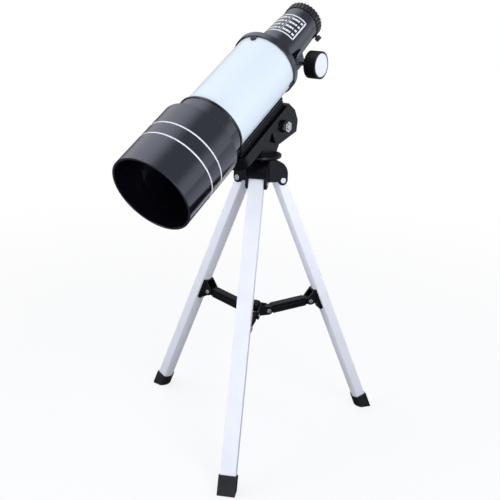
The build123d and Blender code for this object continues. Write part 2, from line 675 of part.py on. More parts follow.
parts["draw_tube"] = draw_tube.part
parts["focus_rack"] = focus_rack.part
parts["eyepiece_ring"] = eyepiece_ring.part
parts["eyepiece_thumbscrew"] = eyepiece_thumbscrew.part

# ---- Pinion shaft and knobs ----
KNOB_OUTER_Y = KNOB_INNER_Y + KNOB_LENGTH


BASE_R = PITCH_R * cos(radians(PRESSURE_ANGLE))


def involute(r):
    """Polar angle of the involute of the base circle at a radius."""
    pressure = acos(BASE_R / r)
    return tan(pressure) - pressure


def pinion_outline():
    """Involute teeth, the first one pointing up at the rack."""
    half_tooth = (PITCH / 2 - BACKLASH / 2) / (2 * PITCH_R)
    flank_start = max(BASE_R, PINION_ROOT_R)
    radii = [flank_start, PITCH_R, PINION_TIP_R]
    half_angles = [half_tooth + involute(PITCH_R) - involute(r) for r in radii]
    points = []
    for tooth in range(PINION_TEETH):
        middle = pi / 2 + tooth * 2 * pi / PINION_TEETH
        flank = [(PINION_ROOT_R, half_angles[0])] + list(zip(radii, half_angles))
        for r, half in flank:
            points.append((r * cos(middle - half), r * sin(middle - half)))
        for r, half in reversed(flank):
            points.append((r * cos(middle + half), r * sin(middle + half)))
    return points


with BuildPart() as focus_pinion:
    with BuildSketch(shaft_plane(PINION_WIDTH / 2)):
        with BuildLine():
            Polyline(*pinion_outline(), close=True)
        make_face()
        Circle(SHAFT_R + PRESSED, mode=Mode.SUBTRACT)
    extrude(amount=PINION_WIDTH)

with BuildPart() as pinion_shaft:
    with BuildSketch(shaft_plane(KNOB_OUTER_Y - KNOB_END)):
        Circle(SHAFT_R)
    extrude(amount=2 * (KNOB_OUTER_Y - KNOB_END))

parts["focus_pinion"] = focus_pinion.part
parts["pinion_shaft"] = pinion_shaft.part


def knob_plane(side, y):
    """Plane facing outwards on one side of the shaft; side is -1 or 1."""
    return Plane(origin=at(PINION_S, PINION_V, side * y), x_dir=AXIS, z_dir=(0, side, 0))


for name, side in (("right", -1), ("left", 1)):
    with BuildPart() as knob:
        with BuildSketch(knob_plane(side, KNOB_INNER_Y)):
            Circle(KNOB_R)
            with PolarLocations(KNOB_R, KNOB_FLUTES):
                Rectangle(KNOB_FLUTE * sqrt(2), KNOB_FLUTE * sqrt(2), rotation=45, mode=Mode.SUBTRACT)
        extrude(amount=KNOB_LENGTH)
        with BuildSketch(knob_plane(side, KNOB_INNER_Y - KNOB_NECK)):
            Circle(KNOB_NECK_R)
        extrude(amount=KNOB_NECK)
        with BuildSketch(knob_plane(side, KNOB_OUTER_Y - KNOB_CAP)):
            Circle(KNOB_R - KNOB_RIM + PRESSED)
        extrude(amount=KNOB_CAP, mode=Mode.SUBTRACT)
        with BuildSketch(knob_plane(side, KNOB_INNER_Y - KNOB_NECK)):
            Circle(SHAFT_R + PRESSED)
        extrude(amount=KNOB_LENGTH + KNOB_NECK - KNOB_END, mode=Mode.SUBTRACT)
    with BuildPart() as cap:
        with BuildSketch(knob_plane(side, KNOB_OUTER_Y - KNOB_CAP)):
            Circle(KNOB_R - KNOB_RIM)
        extrude(amount=KNOB_CAP + KNOB_CAP_RISE)
        cap_edges = cap.edges().filter_by(GeomType.CIRCLE).sort_by(Axis.Y)
        fillet(cap_edges[0 if side < 0 else -1], radius=KNOB_CAP_EDGE)
    parts[f"focus_knob_{name}"] = knob.part
    parts[f"knob_cap_{name}"] = cap.part

# ---- Saddle rail ----
RAIL_TOP_V = -sqrt(TUBE_R ** 2 - RAIL_HALF_TOP ** 2)
PLATE_TOP_V = -RAIL_BOTTOM - PAD_THICK
PLATE_BOTTOM_V = PLATE_TOP_V - PLATE_THICK

with BuildPart() as saddle_rail:
    with BuildSketch(across(RAIL_START)):
        with BuildLine():
            depth = (RAIL_BOTTOM + RAIL_TOP_V) / (RAIL_RIDGES + 1)
            flank = []
            for i in range(1, RAIL_RIDGES + 1):
                v = RAIL_TOP_V - i * depth
                half = RAIL_HALF_TOP - (RAIL_HALF_TOP - RAIL_HALF_FOOT) * i / (RAIL_RIDGES + 1)
                flank += [(half, v + RAIL_GROOVE), (half - RAIL_GROOVE, v), (half, v - RAIL_GROOVE)]
            right = [(RAIL_HALF_TOP, RAIL_TOP_V)] + flank + [(RAIL_HALF_FOOT, -RAIL_BOTTOM)]
            left = [(-y, v) for y, v in reversed(right)]
            Polyline(*right, *left, (0, -TUBE_BORE), close=True)
        make_face()
        Circle(TUBE_R + PRESSED, mode=Mode.SUBTRACT)
    extrude(amount=RAIL_LENGTH)
    with BuildSketch(LENGTHWISE):
        with BuildLine():
            bevel_low, bevel_high = -RAIL_BOTTOM + RAIL_BEVEL_LOW, RAIL_TOP_V + RAIL_BEVEL_HIGH
            Polyline((RAIL_START, bevel_low), (RAIL_START + RAIL_BEVEL, bevel_high),
                     (RAIL_START - OVERCUT, bevel_high), (RAIL_START - OVERCUT, bevel_low), close=True)
        make_face()
    extrude(amount=RAIL_HALF_TOP + OVERCUT, both=True, mode=Mode.SUBTRACT)
    for s in RAIL_SCREWS_S:
        with BuildSketch(outward(s, 270, TUBE_R - OVERCUT)):
            Circle(RAIL_SCREW_R + PRESSED)
        extrude(amount=RAIL_SCREW_DEEP + OVERCUT, mode=Mode.SUBTRACT)
    with BuildSketch(outward(MOUNT_SCREW_S, 90, -RAIL_BOTTOM)):
        Circle(MOUNT_SCREW_R + PRESSED)
    extrude(amount=MOUNT_SCREW_DEEP + SCREW_END_GAP, mode=Mode.SUBTRACT)

with BuildPart() as rail_screws:
    for s in RAIL_SCREWS_S:
        with BuildSketch(outward(s, 270, -RAIL_SCREW_SEAT)):
            Circle(RAIL_SCREW_R)
        extrude(amount=TUBE_R + RAIL_SCREW_DEEP - SCREW_END_GAP + RAIL_SCREW_SEAT)
        with BuildSketch(outward(s, 270, -RAIL_SCREW_SEAT - RAIL_SCREW_HEAD)):
            Circle(RAIL_SCREW_HEAD_R)
        extrude(amount=RAIL_SCREW_HEAD)

with BuildPart() as saddle_pad:
    with BuildSketch(outward(RAIL_START + RAIL_LENGTH / 2, 270, RAIL_BOTTOM)):
        Rectangle(RAIL_LENGTH - 2 * PAD_INSET, 2 * RAIL_HALF_FOOT - 2 * PAD_INSET)
        with Locations((MOUNT_SCREW_S - RAIL_START - RAIL_LENGTH / 2, 0)):
            Circle(MOUNT_SCREW_R + PRESSED, mode=Mode.SUBTRACT)
    extrude(amount=PAD_THICK)

with BuildPart() as mounting_screw:
    with BuildSketch(outward(MOUNT_SCREW_S, 90, PLATE_BOTTOM_V)):
        Circle(MOUNT_SCREW_R)
    extrude(amount=PLATE_THICK + PAD_THICK + MOUNT_SCREW_DEEP)
    with BuildSketch(outward(MOUNT_SCREW_S, 270, -PLATE_BOTTOM_V)):
        Circle(MOUNT_SCREW_HEAD_R)
        with PolarLocations(MOUNT_SCREW_HEAD_R, MOUNT_SCREW_FLUTES):
            Rectangle(KNOB_FLUTE * sqrt(2), KNOB_FLUTE * sqrt(2), rotation=45, mode=Mode.SUBTRACT)
    extrude(amount=MOUNT_SCREW_HEAD)

parts["saddle_rail"] = saddle_rail.part
parts["rail_screws"] = rail_screws.part
parts["saddle_pad"] = saddle_pad.part
parts["mounting_screw"] = mounting_screw.part

# ---- Tilt platform ----
PLATE_REAR_S = RAIL_END_S + REAR_STOP_GAP
PLATE_LENGTH = PLATE_REAR_S + REAR_STOP - PLATE_FRONT
CHEEK_OUTSIDE = CHEEK_INSIDE + CHEEK_THICK
# corners of a cheek from the pivot, along and above the tube, going round from the front top
CHEEK_CORNERS = [(-CHEEK_FRONT, -CHEEK_CHIN), (-CHEEK_FRONT + CHEEK_CUT, -CHEEK_CHIN - CHEEK_CUT),
                 (CHEEK_HEEL, -CHEEK_DROP), (CHEEK_REAR, -CHEEK_REAR_DROP), (CHEEK_REAR, CHEEK_REAR_RISE),
                 (CHEEK_SHOULDER, CHEEK_SHOULDER_RISE)]
NUT_Y = CHEEK_OUTSIDE + TILT_BOSS


def pivot_plane(y, side=-1):
    """Plane square to the tilt bolt, facing outwards on one side."""
    return Plane(origin=PIVOT + Vector(0, side * y, 0), x_dir=AXIS, z_dir=(0, side, 0))


with BuildPart() as tilt_platform:
    with BuildSketch(outward(PLATE_FRONT, 270, -PLATE_TOP_V)):
        with Locations((PLATE_LENGTH / 2, 0)):
            Rectangle(PLATE_LENGTH, 2 * PLATE_HALF)
    extrude(amount=PLATE_THICK + PLATE_SKIRT)
    front_corners = tilt_platform.edges().filter_by(Axis(at(0), UP)).group_by(TUBE_AXIS)[0]
    fillet(front_corners, radius=PLATE_CORNER)
    with BuildSketch(outward(PLATE_FRONT, 270, -PLATE_BOTTOM_V)):
        with Locations((PLATE_LENGTH / 2 + PLATE_WALL, 0)):
            RectangleRounded(PLATE_LENGTH, 2 * (PLATE_HALF - PLATE_WALL), PLATE_CORNER - PLATE_WALL)
    extrude(amount=PLATE_SKIRT, mode=Mode.SUBTRACT)
    with BuildSketch(LENGTHWISE):
        with BuildLine():
            below_v = PLATE_BOTTOM_V - PLATE_SKIRT - OVERCUT
            skirt_end = PIVOT_S - CHEEK_FRONT
            plate_end = PLATE_FRONT + PLATE_LENGTH + OVERCUT
            Polyline((skirt_end - SKIRT_SLOPE, below_v), (skirt_end, PLATE_BOTTOM_V),
                     (plate_end, PLATE_BOTTOM_V), (plate_end, below_v), close=True)
        make_face()
    extrude(amount=PLATE_HALF + OVERCUT, both=True, mode=Mode.SUBTRACT)
    with BuildSketch(beside(CHEEK_OUTSIDE)):
        with BuildLine():
            corners = [(PIVOT_S + s, PIVOT_V + v) for s, v in CHEEK_CORNERS]
            stop_top = PLATE_TOP_V + REAR_STOP_RISE
            Polyline((PIVOT_S - CHEEK_FRONT, PLATE_TOP_V), *corners, (PLATE_REAR_S, stop_top),
                     (PLATE_REAR_S, PLATE_TOP_V), close=True)
        make_face()
        back = vertices().sort_by(TUBE_AXIS)[-4:].sort_by(Axis(at(0), UP))
        fillet(back[:2], radius=CHEEK_ROUND)
        fillet(back[2:], radius=CHEEK_BACK_ROUND)
    extrude(amount=2 * CHEEK_OUTSIDE)
    with BuildSketch(beside(CHEEK_INSIDE)):
        with BuildLine():
            room_front, room_rear = PIVOT_S - CHEEK_FRONT - OVERCUT, PIVOT_S + CHEEK_REAR + OVERCUT
            room_low = PIVOT_V - CHEEK_DROP - OVERCUT
            Polyline((room_front, PLATE_BOTTOM_V), (room_rear, PLATE_BOTTOM_V), (room_rear, room_low),
                     (room_front, room_low), close=True)
        make_face()
    extrude(amount=2 * CHEEK_INSIDE, mode=Mode.SUBTRACT)
    with BuildSketch(pivot_plane(CHEEK_OUTSIDE)):
        Circle(TILT_BOSS_R)
    extrude(amount=TILT_BOSS)
    with BuildSketch(pivot_plane(-CHEEK_OUTSIDE - OVERCUT)):
        Circle(TILT_BOLT_R + PRESSED)
    extrude(amount=2 * CHEEK_OUTSIDE + TILT_BOSS + 2 * OVERCUT, mode=Mode.SUBTRACT)
    with BuildSketch(outward(MOUNT_SCREW_S, 90, PLATE_BOTTOM_V)):
        Circle(MOUNT_SCREW_R + PRESSED)
    extrude(amount=PLATE_THICK, mode=Mode.SUBTRACT)

with BuildPart() as tilt_bolt:
    bolt_end_y = NUT_Y + TILT_NUT_THICK + TILT_BOLT_END
    with BuildSketch(pivot_plane(bolt_end_y)):
        Circle(TILT_BOLT_R)
    extrude(amount=-bolt_end_y - CHEEK_OUTSIDE - TILT_KNOB_NECK - TILT_KNOB_BITE)

with BuildPart() as tilt_nut:
    with BuildSketch(pivot_plane(NUT_Y)):
        RegularPolygon(TILT_NUT_ACROSS / 2, 6, major_radius=False)
        Circle(TILT_BOLT_R + PRESSED, mode=Mode.SUBTRACT)
    extrude(amount=TILT_NUT_THICK)

with BuildPart() as tilt_washers:
    for side in (-1, 1):
        with BuildSketch(pivot_plane(TONGUE_HALF + SIDE_GAP, side)):
            Circle(TILT_WASHER_R)
            Circle(TILT_BOLT_R + PRESSED, mode=Mode.SUBTRACT)
        extrude(amount=CHEEK_INSIDE - TONGUE_HALF - SIDE_GAP)

with BuildPart() as tilt_knob:
    knob_y = CHEEK_OUTSIDE + SIDE_GAP
    with BuildSketch(pivot_plane(knob_y, 1)):
        Circle(TILT_KNOB_NECK_R)
    extrude(amount=TILT_KNOB_NECK)
    with BuildSketch(pivot_plane(knob_y + TILT_KNOB_NECK, 1)):
        Circle(TILT_KNOB_R)
        with PolarLocations(TILT_KNOB_R + TILT_KNOB_LOBE_OUT, TILT_KNOB_LOBES):
            Circle(TILT_KNOB_LOBE, mode=Mode.SUBTRACT)
    extrude(amount=TILT_KNOB_LENGTH)
    with BuildSketch(pivot_plane(knob_y, 1)):
        Circle(TILT_BOLT_R + RUNNING)
    extrude(amount=TILT_KNOB_NECK + TILT_KNOB_BITE + SCREW_END_GAP, mode=Mode.SUBTRACT)

parts["tilt_platform"] = tilt_platform.part
parts["tilt_bolt"] = tilt_bolt.part
parts["tilt_nut"] = tilt_nut.part
parts["tilt_washers"] = tilt_washers.part
parts["tilt_knob"] = tilt_knob.part

# ---- Pan head ----
with BuildPart() as pan_head:
    with BuildSketch(Plane.XY.offset(PAN_TOP - PAN_DISC)):
        Circle(PAN_DISC_R)
    extrude(amount=PAN_DISC)
    fillet(pan_head.edges().filter_by(GeomType.CIRCLE), radius=PAN_EDGE)
    with BuildSketch(Plane.XY.offset(PAN_FOOT_Z)):
        Circle(PAN_NECK_R)
    extrude(amount=PAN_TOP - PAN_FOOT_Z - PAN_DISC)
    with BuildSketch(Plane(origin=(0, TONGUE_HALF, 0), x_dir=(1, 0, 0), z_dir=(0, -1, 0))):
        with Locations((PIVOT.X, PIVOT.Z)):
            Circle(TONGUE_R)
        with Locations(((TONGUE_REAR + TONGUE_FRONT) / 2, PAN_TOP - PAN_DISC / 2)):
            Rectangle(TONGUE_REAR - TONGUE_FRONT, HULL_STRIP)
        make_hull()
    extrude(amount=2 * TONGUE_HALF)
    with BuildSketch(pivot_plane(TONGUE_HALF + OVERCUT)):
        Circle(TILT_BOLT_R + RUNNING)
    extrude(amount=-2 * (TONGUE_HALF + OVERCUT), mode=Mode.SUBTRACT)
    with BuildSketch(Plane.XY.offset(PAN_FOOT_Z)):
        Circle(PAN_BOLT_R + RUNNING)
    extrude(amount=PAN_BOLT_BITE + SCREW_END_GAP, mode=Mode.SUBTRACT)

with BuildPart() as pan_washer:
    with BuildSketch(Plane.XY.offset(CROWN_TOP)):
        Circle(PAN_WASHER_R)
        Circle(PAN_BOLT_R + PRESSED, mode=Mode.SUBTRACT)
    extrude(amount=PAN_WASHER)

with BuildPart() as pan_bolt:
    with BuildSketch(Plane.XY.offset(CROWN_CORE_BOTTOM)):
        Circle(PAN_BOLT_R)
    extrude(amount=PAN_FOOT_Z + PAN_BOLT_BITE - CROWN_CORE_BOTTOM)
    with BuildSketch(Plane.XY.offset(CROWN_CORE_BOTTOM - PAN_BOLT_HEAD)):
        RegularPolygon(PAN_BOLT_HEAD_R, 6)
    extrude(amount=PAN_BOLT_HEAD)

parts["pan_head"] = pan_head.part
parts["pan_washer"] = pan_washer.part
parts["pan_bolt"] = pan_bolt.part

# ---- Crown ----
CROWN_INSIDE = LEG_WIDTH / 2 + SIDE_GAP
CROWN_OUTSIDE = CROWN_INSIDE + CROWN_WALL
CROWN_REACH = LEG_PIN_R + CROWN_EAR_HALF + CROWN_LIP
EAR_BOTTOM_Z = LEG_PIN_Z - CROWN_EAR_DROP


def fan(reach, top, bottom):
    """Rounded side outline of one crown arm, from the pan axis to its outer edge."""
    Polyline((0, bottom), (0, top), (CROWN_SHOULDER_R, top))
    bulge_r = CROWN_SHOULDER_R + (reach - CROWN_SHOULDER_R) * cos(pi / 4) * CROWN_BULGE
    bulge_z = CROWN_WALL_BOTTOM + (top - CROWN_WALL_BOTTOM) * sin(pi / 4) * CROWN_RISE
    ThreePointArc((CROWN_SHOULDER_R, top), (bulge_r, bulge_z), (reach, CROWN_WALL_BOTTOM))
    Polyline((reach, CROWN_WALL_BOTTOM), (reach, bottom), (0, bottom))


with BuildPart() as crown:
    for azimuth in LEG_AZIMUTHS.values():
        with BuildSketch(radial(azimuth, -CROWN_OUTSIDE)):
            with BuildLine():
                fan(CROWN_REACH, CROWN_TOP, CROWN_FAN_BOTTOM)
            make_face()
            with Locations((LEG_PIN_R, (LEG_PIN_Z + EAR_BOTTOM_Z + CROWN_EAR_HALF) / 2)):
                Rectangle(2 * CROWN_EAR_HALF, LEG_PIN_Z - EAR_BOTTOM_Z - CROWN_EAR_HALF)
            with Locations((LEG_PIN_R, EAR_BOTTOM_Z + CROWN_EAR_HALF)):
                Circle(CROWN_EAR_HALF)
        extrude(amount=2 * CROWN_OUTSIDE)
    for azimuth in LEG_AZIMUTHS.values():
        with BuildSketch(radial(azimuth, -CROWN_INSIDE)):
            with BuildLine():
                fan(CROWN_REACH - CROWN_WALL, CROWN_TOP - CROWN_WALL, EAR_BOTTOM_Z - OVERCUT)
            make_face()
            with Locations((CROWN_REACH, (CROWN_WALL_BOTTOM + EAR_BOTTOM_Z - OVERCUT) / 2)):
                Rectangle(4 * CROWN_WALL, CROWN_WALL_BOTTOM - EAR_BOTTOM_Z + OVERCUT)
        extrude(amount=2 * CROWN_INSIDE, mode=Mode.SUBTRACT)
    with BuildSketch(Plane.XY.offset(CROWN_CORE_BOTTOM)):
        Circle(CROWN_CORE_R)
    extrude(amount=CROWN_TOP - CROWN_CORE_BOTTOM)
    with BuildSketch(Plane.XY.offset(CROWN_CORE_BOTTOM)):
        Circle(PAN_BOLT_R + PRESSED)
    extrude(amount=CROWN_TOP - CROWN_CORE_BOTTOM, mode=Mode.SUBTRACT)
    for azimuth in LEG_AZIMUTHS.values():
        with BuildSketch(radial(azimuth, -CROWN_OUTSIDE - OVERCUT)):
            with Locations((LEG_PIN_R, LEG_PIN_Z)):
                Circle(PIN_R + PRESSED)
        extrude(amount=2 * (CROWN_OUTSIDE + OVERCUT), mode=Mode.SUBTRACT)

with BuildPart() as leg_pins:
    for azimuth in LEG_AZIMUTHS.values():
        with BuildSketch(radial(azimuth, -CROWN_OUTSIDE)):
            with Locations((LEG_PIN_R, LEG_PIN_Z)):
                Circle(PIN_R)
        extrude(amount=2 * CROWN_OUTSIDE)
        for side in (-1, 1):
            with BuildSketch(radial(azimuth, side * CROWN_OUTSIDE)):
                with Locations((LEG_PIN_R, LEG_PIN_Z)):
                    Circle(PIN_HEAD_R)
            extrude(amount=side * PIN_HEAD)

parts["crown"] = crown.part
parts["leg_pins"] = leg_pins.part

# ---- Legs and feet ----
FLOOR_ALONG = LEG_PIN_Z / cos(LEG_ANGLE)
LEG_END = FLOOR_ALONG - FOOT_PLUG
FOOT_START = FLOOR_ALONG - FOOT_HEIGHT


def leg_section(grow=0.0):
    """Closed outline of the leg: flat outer face and sides, gently rounded inner face."""
    half, outer, side_end = LEG_WIDTH / 2 + grow, -LEG_OUTER - grow, LEG_SIDE - LEG_OUTER
    with BuildSketch() as section:
        with BuildLine():
            Polyline((half, side_end), (half, outer), (-half, outer), (-half, side_end))
            ThreePointArc((-half, side_end), (0, LEG_INNER + grow), (half, side_end))
        make_face()
    return section.sketch


def side_plane(azimuth, along, out, side=0.0):
    """Plane along a leg: local x runs down the leg, local y points inwards to the pan axis."""
    base = leg_plane(azimuth, along, out)
    return Plane(origin=base.origin - base.x_dir * side, x_dir=base.z_dir, z_dir=-base.x_dir)


def make_leg(azimuth):
    """One drawn leg, open at both ends, with its pin bore."""
    with BuildPart() as leg:
        with BuildSketch(leg_plane(azimuth, -LEG_TOP)):
            add(leg_section())
        extrude(amount=LEG_TOP + LEG_END)
        with BuildSketch(leg_plane(azimuth, -LEG_TOP)):
            add(leg_section(-LEG_WALL))
        extrude(amount=LEG_TOP + LEG_END, mode=Mode.SUBTRACT)
        with BuildSketch(side_plane(azimuth, 0, 0, -LEG_WIDTH)):
            Circle(PIN_R + RUNNING)
        extrude(amount=2 * LEG_WIDTH, mode=Mode.SUBTRACT)
    return leg.part


def make_foot(azimuth):
    """One rubber foot over the end of a leg, cut level with the floor."""
    with BuildPart() as foot:
        with BuildSketch(leg_plane(azimuth, FOOT_START)):
            add(leg_section(FOOT_WALL))
        extrude(amount=FOOT_HEIGHT + LEG_INNER)
        split(bisect_by=Plane.XY, keep=Keep.TOP)
        with BuildSketch(leg_plane(azimuth, FOOT_START)):
            add(leg_section(PRESSED))
        extrude(amount=LEG_END - FOOT_START + PRESSED, mode=Mode.SUBTRACT)
    return foot.part


# ---- Leg brackets ----
EAR_INSIDE = ARM_WIDTH / 2 + SIDE_GAP
EAR_OUTSIDE = EAR_INSIDE + EAR_THICK


def make_bracket(azimuth):
    """One saddle round a leg's inner face, with two ears for a spreader arm."""
    base_top, side_end = LEG_INNER + BRACKET_BASE, LEG_SIDE - LEG_OUTER
    with BuildPart() as bracket:
        with BuildSketch(leg_plane(azimuth, BRACKET_DOWN - BRACKET_UP)):
            with Locations((0, (base_top + side_end) / 2)):
                RectangleRounded(2 * EAR_OUTSIDE, base_top - side_end, BRACKET_ROUND)
        extrude(amount=BRACKET_LENGTH)
        for side in (-EAR_OUTSIDE, EAR_INSIDE):
            with BuildSketch(side_plane(azimuth, BRACKET_DOWN, 0, side)):
                with Locations((0, BRACKET_OUT)):
                    Circle(EAR_R)
                with Locations((EAR_FOOT / 2 - BRACKET_UP, LEG_INNER)):
                    Rectangle(EAR_FOOT, HULL_STRIP)
                make_hull()
            extrude(amount=EAR_THICK)
        with BuildSketch(leg_plane(azimuth, BRACKET_DOWN - BRACKET_LENGTH)):
            add(leg_section(PRESSED))
        extrude(amount=2 * BRACKET_LENGTH, mode=Mode.SUBTRACT)
        with BuildSketch(side_plane(azimuth, BRACKET_DOWN, BRACKET_OUT, -2 * EAR_OUTSIDE)):
            Circle(SPREADER_PIN_R + PRESSED)
        extrude(amount=4 * EAR_OUTSIDE, mode=Mode.SUBTRACT)
    return bracket.part


def make_bracket_pin(azimuth):
    """Rivet through a bracket's ears."""
    with BuildPart() as pin:
        with BuildSketch(side_plane(azimuth, BRACKET_DOWN, BRACKET_OUT, -EAR_OUTSIDE)):
            Circle(SPREADER_PIN_R)
        extrude(amount=2 * EAR_OUTSIDE)
        for side in (-1, 1):
            with BuildSketch(side_plane(azimuth, BRACKET_DOWN, BRACKET_OUT, side * EAR_OUTSIDE)):
                Circle(RIVET_HEAD_R)
            extrude(amount=side * RIVET_HEAD)
    return pin.part


# ---- Spreader arms and hub ----
BRACKET_PIN_R = LEG_PIN_R + BRACKET_DOWN * sin(LEG_ANGLE) - BRACKET_OUT * cos(LEG_ANGLE)
BRACKET_PIN_Z = LEG_PIN_Z - BRACKET_DOWN * cos(LEG_ANGLE) - BRACKET_OUT * sin(LEG_ANGLE)
ARM_LENGTH = hypot(BRACKET_PIN_R - HUB_PIN_R, BRACKET_PIN_Z - HUB_PIN_Z)
ARM_FLUTE_PITCH = ARM_DEPTH / (ARM_FLUTES + ARM_EDGE_SHARE)


def arm_plane(azimuth, side=0.0):
    """Plane along an arm: local x runs from the bracket pin to the hub pin, local y is its depth."""
    base = radial(azimuth, side)
    start = base.from_local_coords(Vector(BRACKET_PIN_R, BRACKET_PIN_Z, 0))
    end = base.from_local_coords(Vector(HUB_PIN_R, HUB_PIN_Z, 0))
    return Plane(origin=start, x_dir=end - start, z_dir=base.z_dir)


def arm_top_plane(azimuth, depth):
    """Plane over an arm: local x runs to the hub pin, local y is its width."""
    base = arm_plane(azimuth)
    return Plane(origin=base.origin + base.y_dir * depth, x_dir=base.x_dir, z_dir=base.y_dir)


def make_arm(azimuth):
    """One ribbed spreader arm, wedge nosed at the hub so that three fit side by side when folded."""
    with BuildPart() as arm:
        with BuildSketch(arm_plane(azimuth, -ARM_WIDTH / 2)):
            with Locations((ARM_LENGTH / 2, 0)):
                SlotCenterToCenter(ARM_LENGTH, ARM_END_DEPTH)
                Rectangle(ARM_LENGTH - 2 * ARM_SHOULDER, ARM_DEPTH)
        extrude(amount=ARM_WIDTH)
        for side in (-1, 1):
            with BuildSketch(arm_plane(azimuth, side * ARM_WIDTH / 2)):
                with Locations((ARM_LENGTH / 2, 0)):
                    with GridLocations(0, ARM_FLUTE_PITCH, 1, ARM_FLUTES):
                        Rectangle(ARM_LENGTH - 2 * ARM_SHOULDER, ARM_FLUTE_PITCH - ARM_RIB)
            extrude(amount=-side * ARM_FLUTE_DEPTH, mode=Mode.SUBTRACT)
        tip = ARM_LENGTH + ARM_END_DEPTH / 2
        for side in (-1, 1):
            with BuildSketch(arm_top_plane(azimuth, -ARM_DEPTH)):
                with BuildLine():
                    beyond, wide = tip + OVERCUT, side * ARM_WIDTH
                    Polyline((beyond, 0), (tip, 0), (tip - ARM_NOSE, wide / 2), (tip - ARM_NOSE, wide),
                             (beyond, wide), close=True)
                make_face()
            extrude(amount=2 * ARM_DEPTH, mode=Mode.SUBTRACT)
        for x, bore in ((0, SPREADER_PIN_R + RUNNING), (ARM_LENGTH, SPREADER_PIN_R + PRESSED)):
            with BuildSketch(arm_plane(azimuth, -ARM_WIDTH)):
                with Locations((x, 0)):
                    Circle(bore)
            extrude(amount=2 * ARM_WIDTH, mode=Mode.SUBTRACT)
    return arm.part


def make_arm_pin(azimuth):
    """Shank of a hub rivet, held in the arm's end."""
    with BuildPart() as pin:
        with BuildSketch(arm_plane(azimuth, -ARM_WIDTH / 2)):
            with Locations((ARM_LENGTH, 0)):
                Circle(SPREADER_PIN_R)
        extrude(amount=ARM_WIDTH)
    return pin.part


HUB_ROOF_Z = HUB_PIN_Z + ARM_END_DEPTH / 2 + HUB_ROOF_GAP
HUB_TOP_Z = HUB_ROOF_Z + HUB_ROOF

with BuildPart() as spreader_hub:
    for azimuth in LEG_AZIMUTHS.values():
        for side in (-EAR_OUTSIDE, EAR_INSIDE):
            with BuildSketch(radial(azimuth, side)):
                with Locations((HUB_PIN_R, HUB_PIN_Z)):
                    Circle(EAR_R)
                with Locations((HUB_EAR_START + HULL_STRIP / 2, (HUB_TOP_Z + HUB_PIN_Z - EAR_R) / 2)):
                    Rectangle(HULL_STRIP, HUB_TOP_Z - HUB_PIN_Z + EAR_R)
                make_hull()
            extrude(amount=EAR_THICK)
    with BuildSketch(Plane.XY.offset(HUB_ROOF_Z)):
        Circle(HUB_CORE_R)
    extrude(amount=HUB_ROOF)
    for azimuth in LEG_AZIMUTHS.values():
        with BuildSketch(radial(azimuth, -2 * EAR_OUTSIDE)):
            with Locations((HUB_PIN_R, HUB_PIN_Z)):
                Circle(SPREADER_PIN_R + PRESSED)
        extrude(amount=4 * EAR_OUTSIDE, mode=Mode.SUBTRACT)

with BuildPart() as hub_cap:
    with BuildSketch(Plane.XY.offset(HUB_TOP_Z)):
        Circle(HUB_CAP_R)
    extrude(amount=HUB_CAP_HEIGHT)
    fillet(hub_cap.faces().sort_by(Axis.Z)[-1].edges(), radius=HUB_CAP_HEIGHT - HUB_CAP_SIDE)

with BuildPart() as hub_rivets:
    for azimuth in LEG_AZIMUTHS.values():
        for side in (-1, 1):
            with BuildSketch(radial(azimuth, side * EAR_INSIDE)):
                with Locations((HUB_PIN_R, HUB_PIN_Z)):
                    Circle(SPREADER_PIN_R)
            extrude(amount=side * EAR_THICK)
            with BuildSketch(radial(azimuth, side * EAR_OUTSIDE)):
                with Locations((HUB_PIN_R, HUB_PIN_Z)):
                    Circle(RIVET_HEAD_R)
            extrude(amount=side * RIVET_HEAD)

for name, azimuth in LEG_AZIMUTHS.items():
    parts[f"leg_{name}"] = make_leg(azimuth)
    parts[f"foot_{name}"] = make_foot(azimuth)
    parts[f"leg_bracket_{name}"] = make_bracket(azimuth)
    parts[f"bracket_pin_{name}"] = make_bracket_pin(azimuth)
    parts[f"spreader_arm_{name}"] = make_arm(azimuth)
    parts[f"arm_pin_{name}"] = make_arm_pin(azimuth)
parts["spreader_hub"] = spreader_hub.part
parts["hub_cap"] = hub_cap.part
parts["hub_rivets"] = hub_rivets.part

# ---- Write ----
os.makedirs("parts", exist_ok=True)
for name, solid in parts.items():
    solid.label = name
    export_step(solid, f"parts/{name}.step")
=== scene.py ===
"""Looks of a small refractor telescope on a folding stand, dressed over its fixed frame.

The frame gives every solid in metres.  Each sub-assembly below is a class that holds its own sizes,
builds the pieces that the solids lack and dresses its solids with procedural finishes.
"""

import json
import logging
from dataclasses import dataclass, field
from enum import Enum
from math import atan2, degrees, radians
from typing import Any

import bpy
from mathutils import Euler, Matrix, Quaternion, Vector

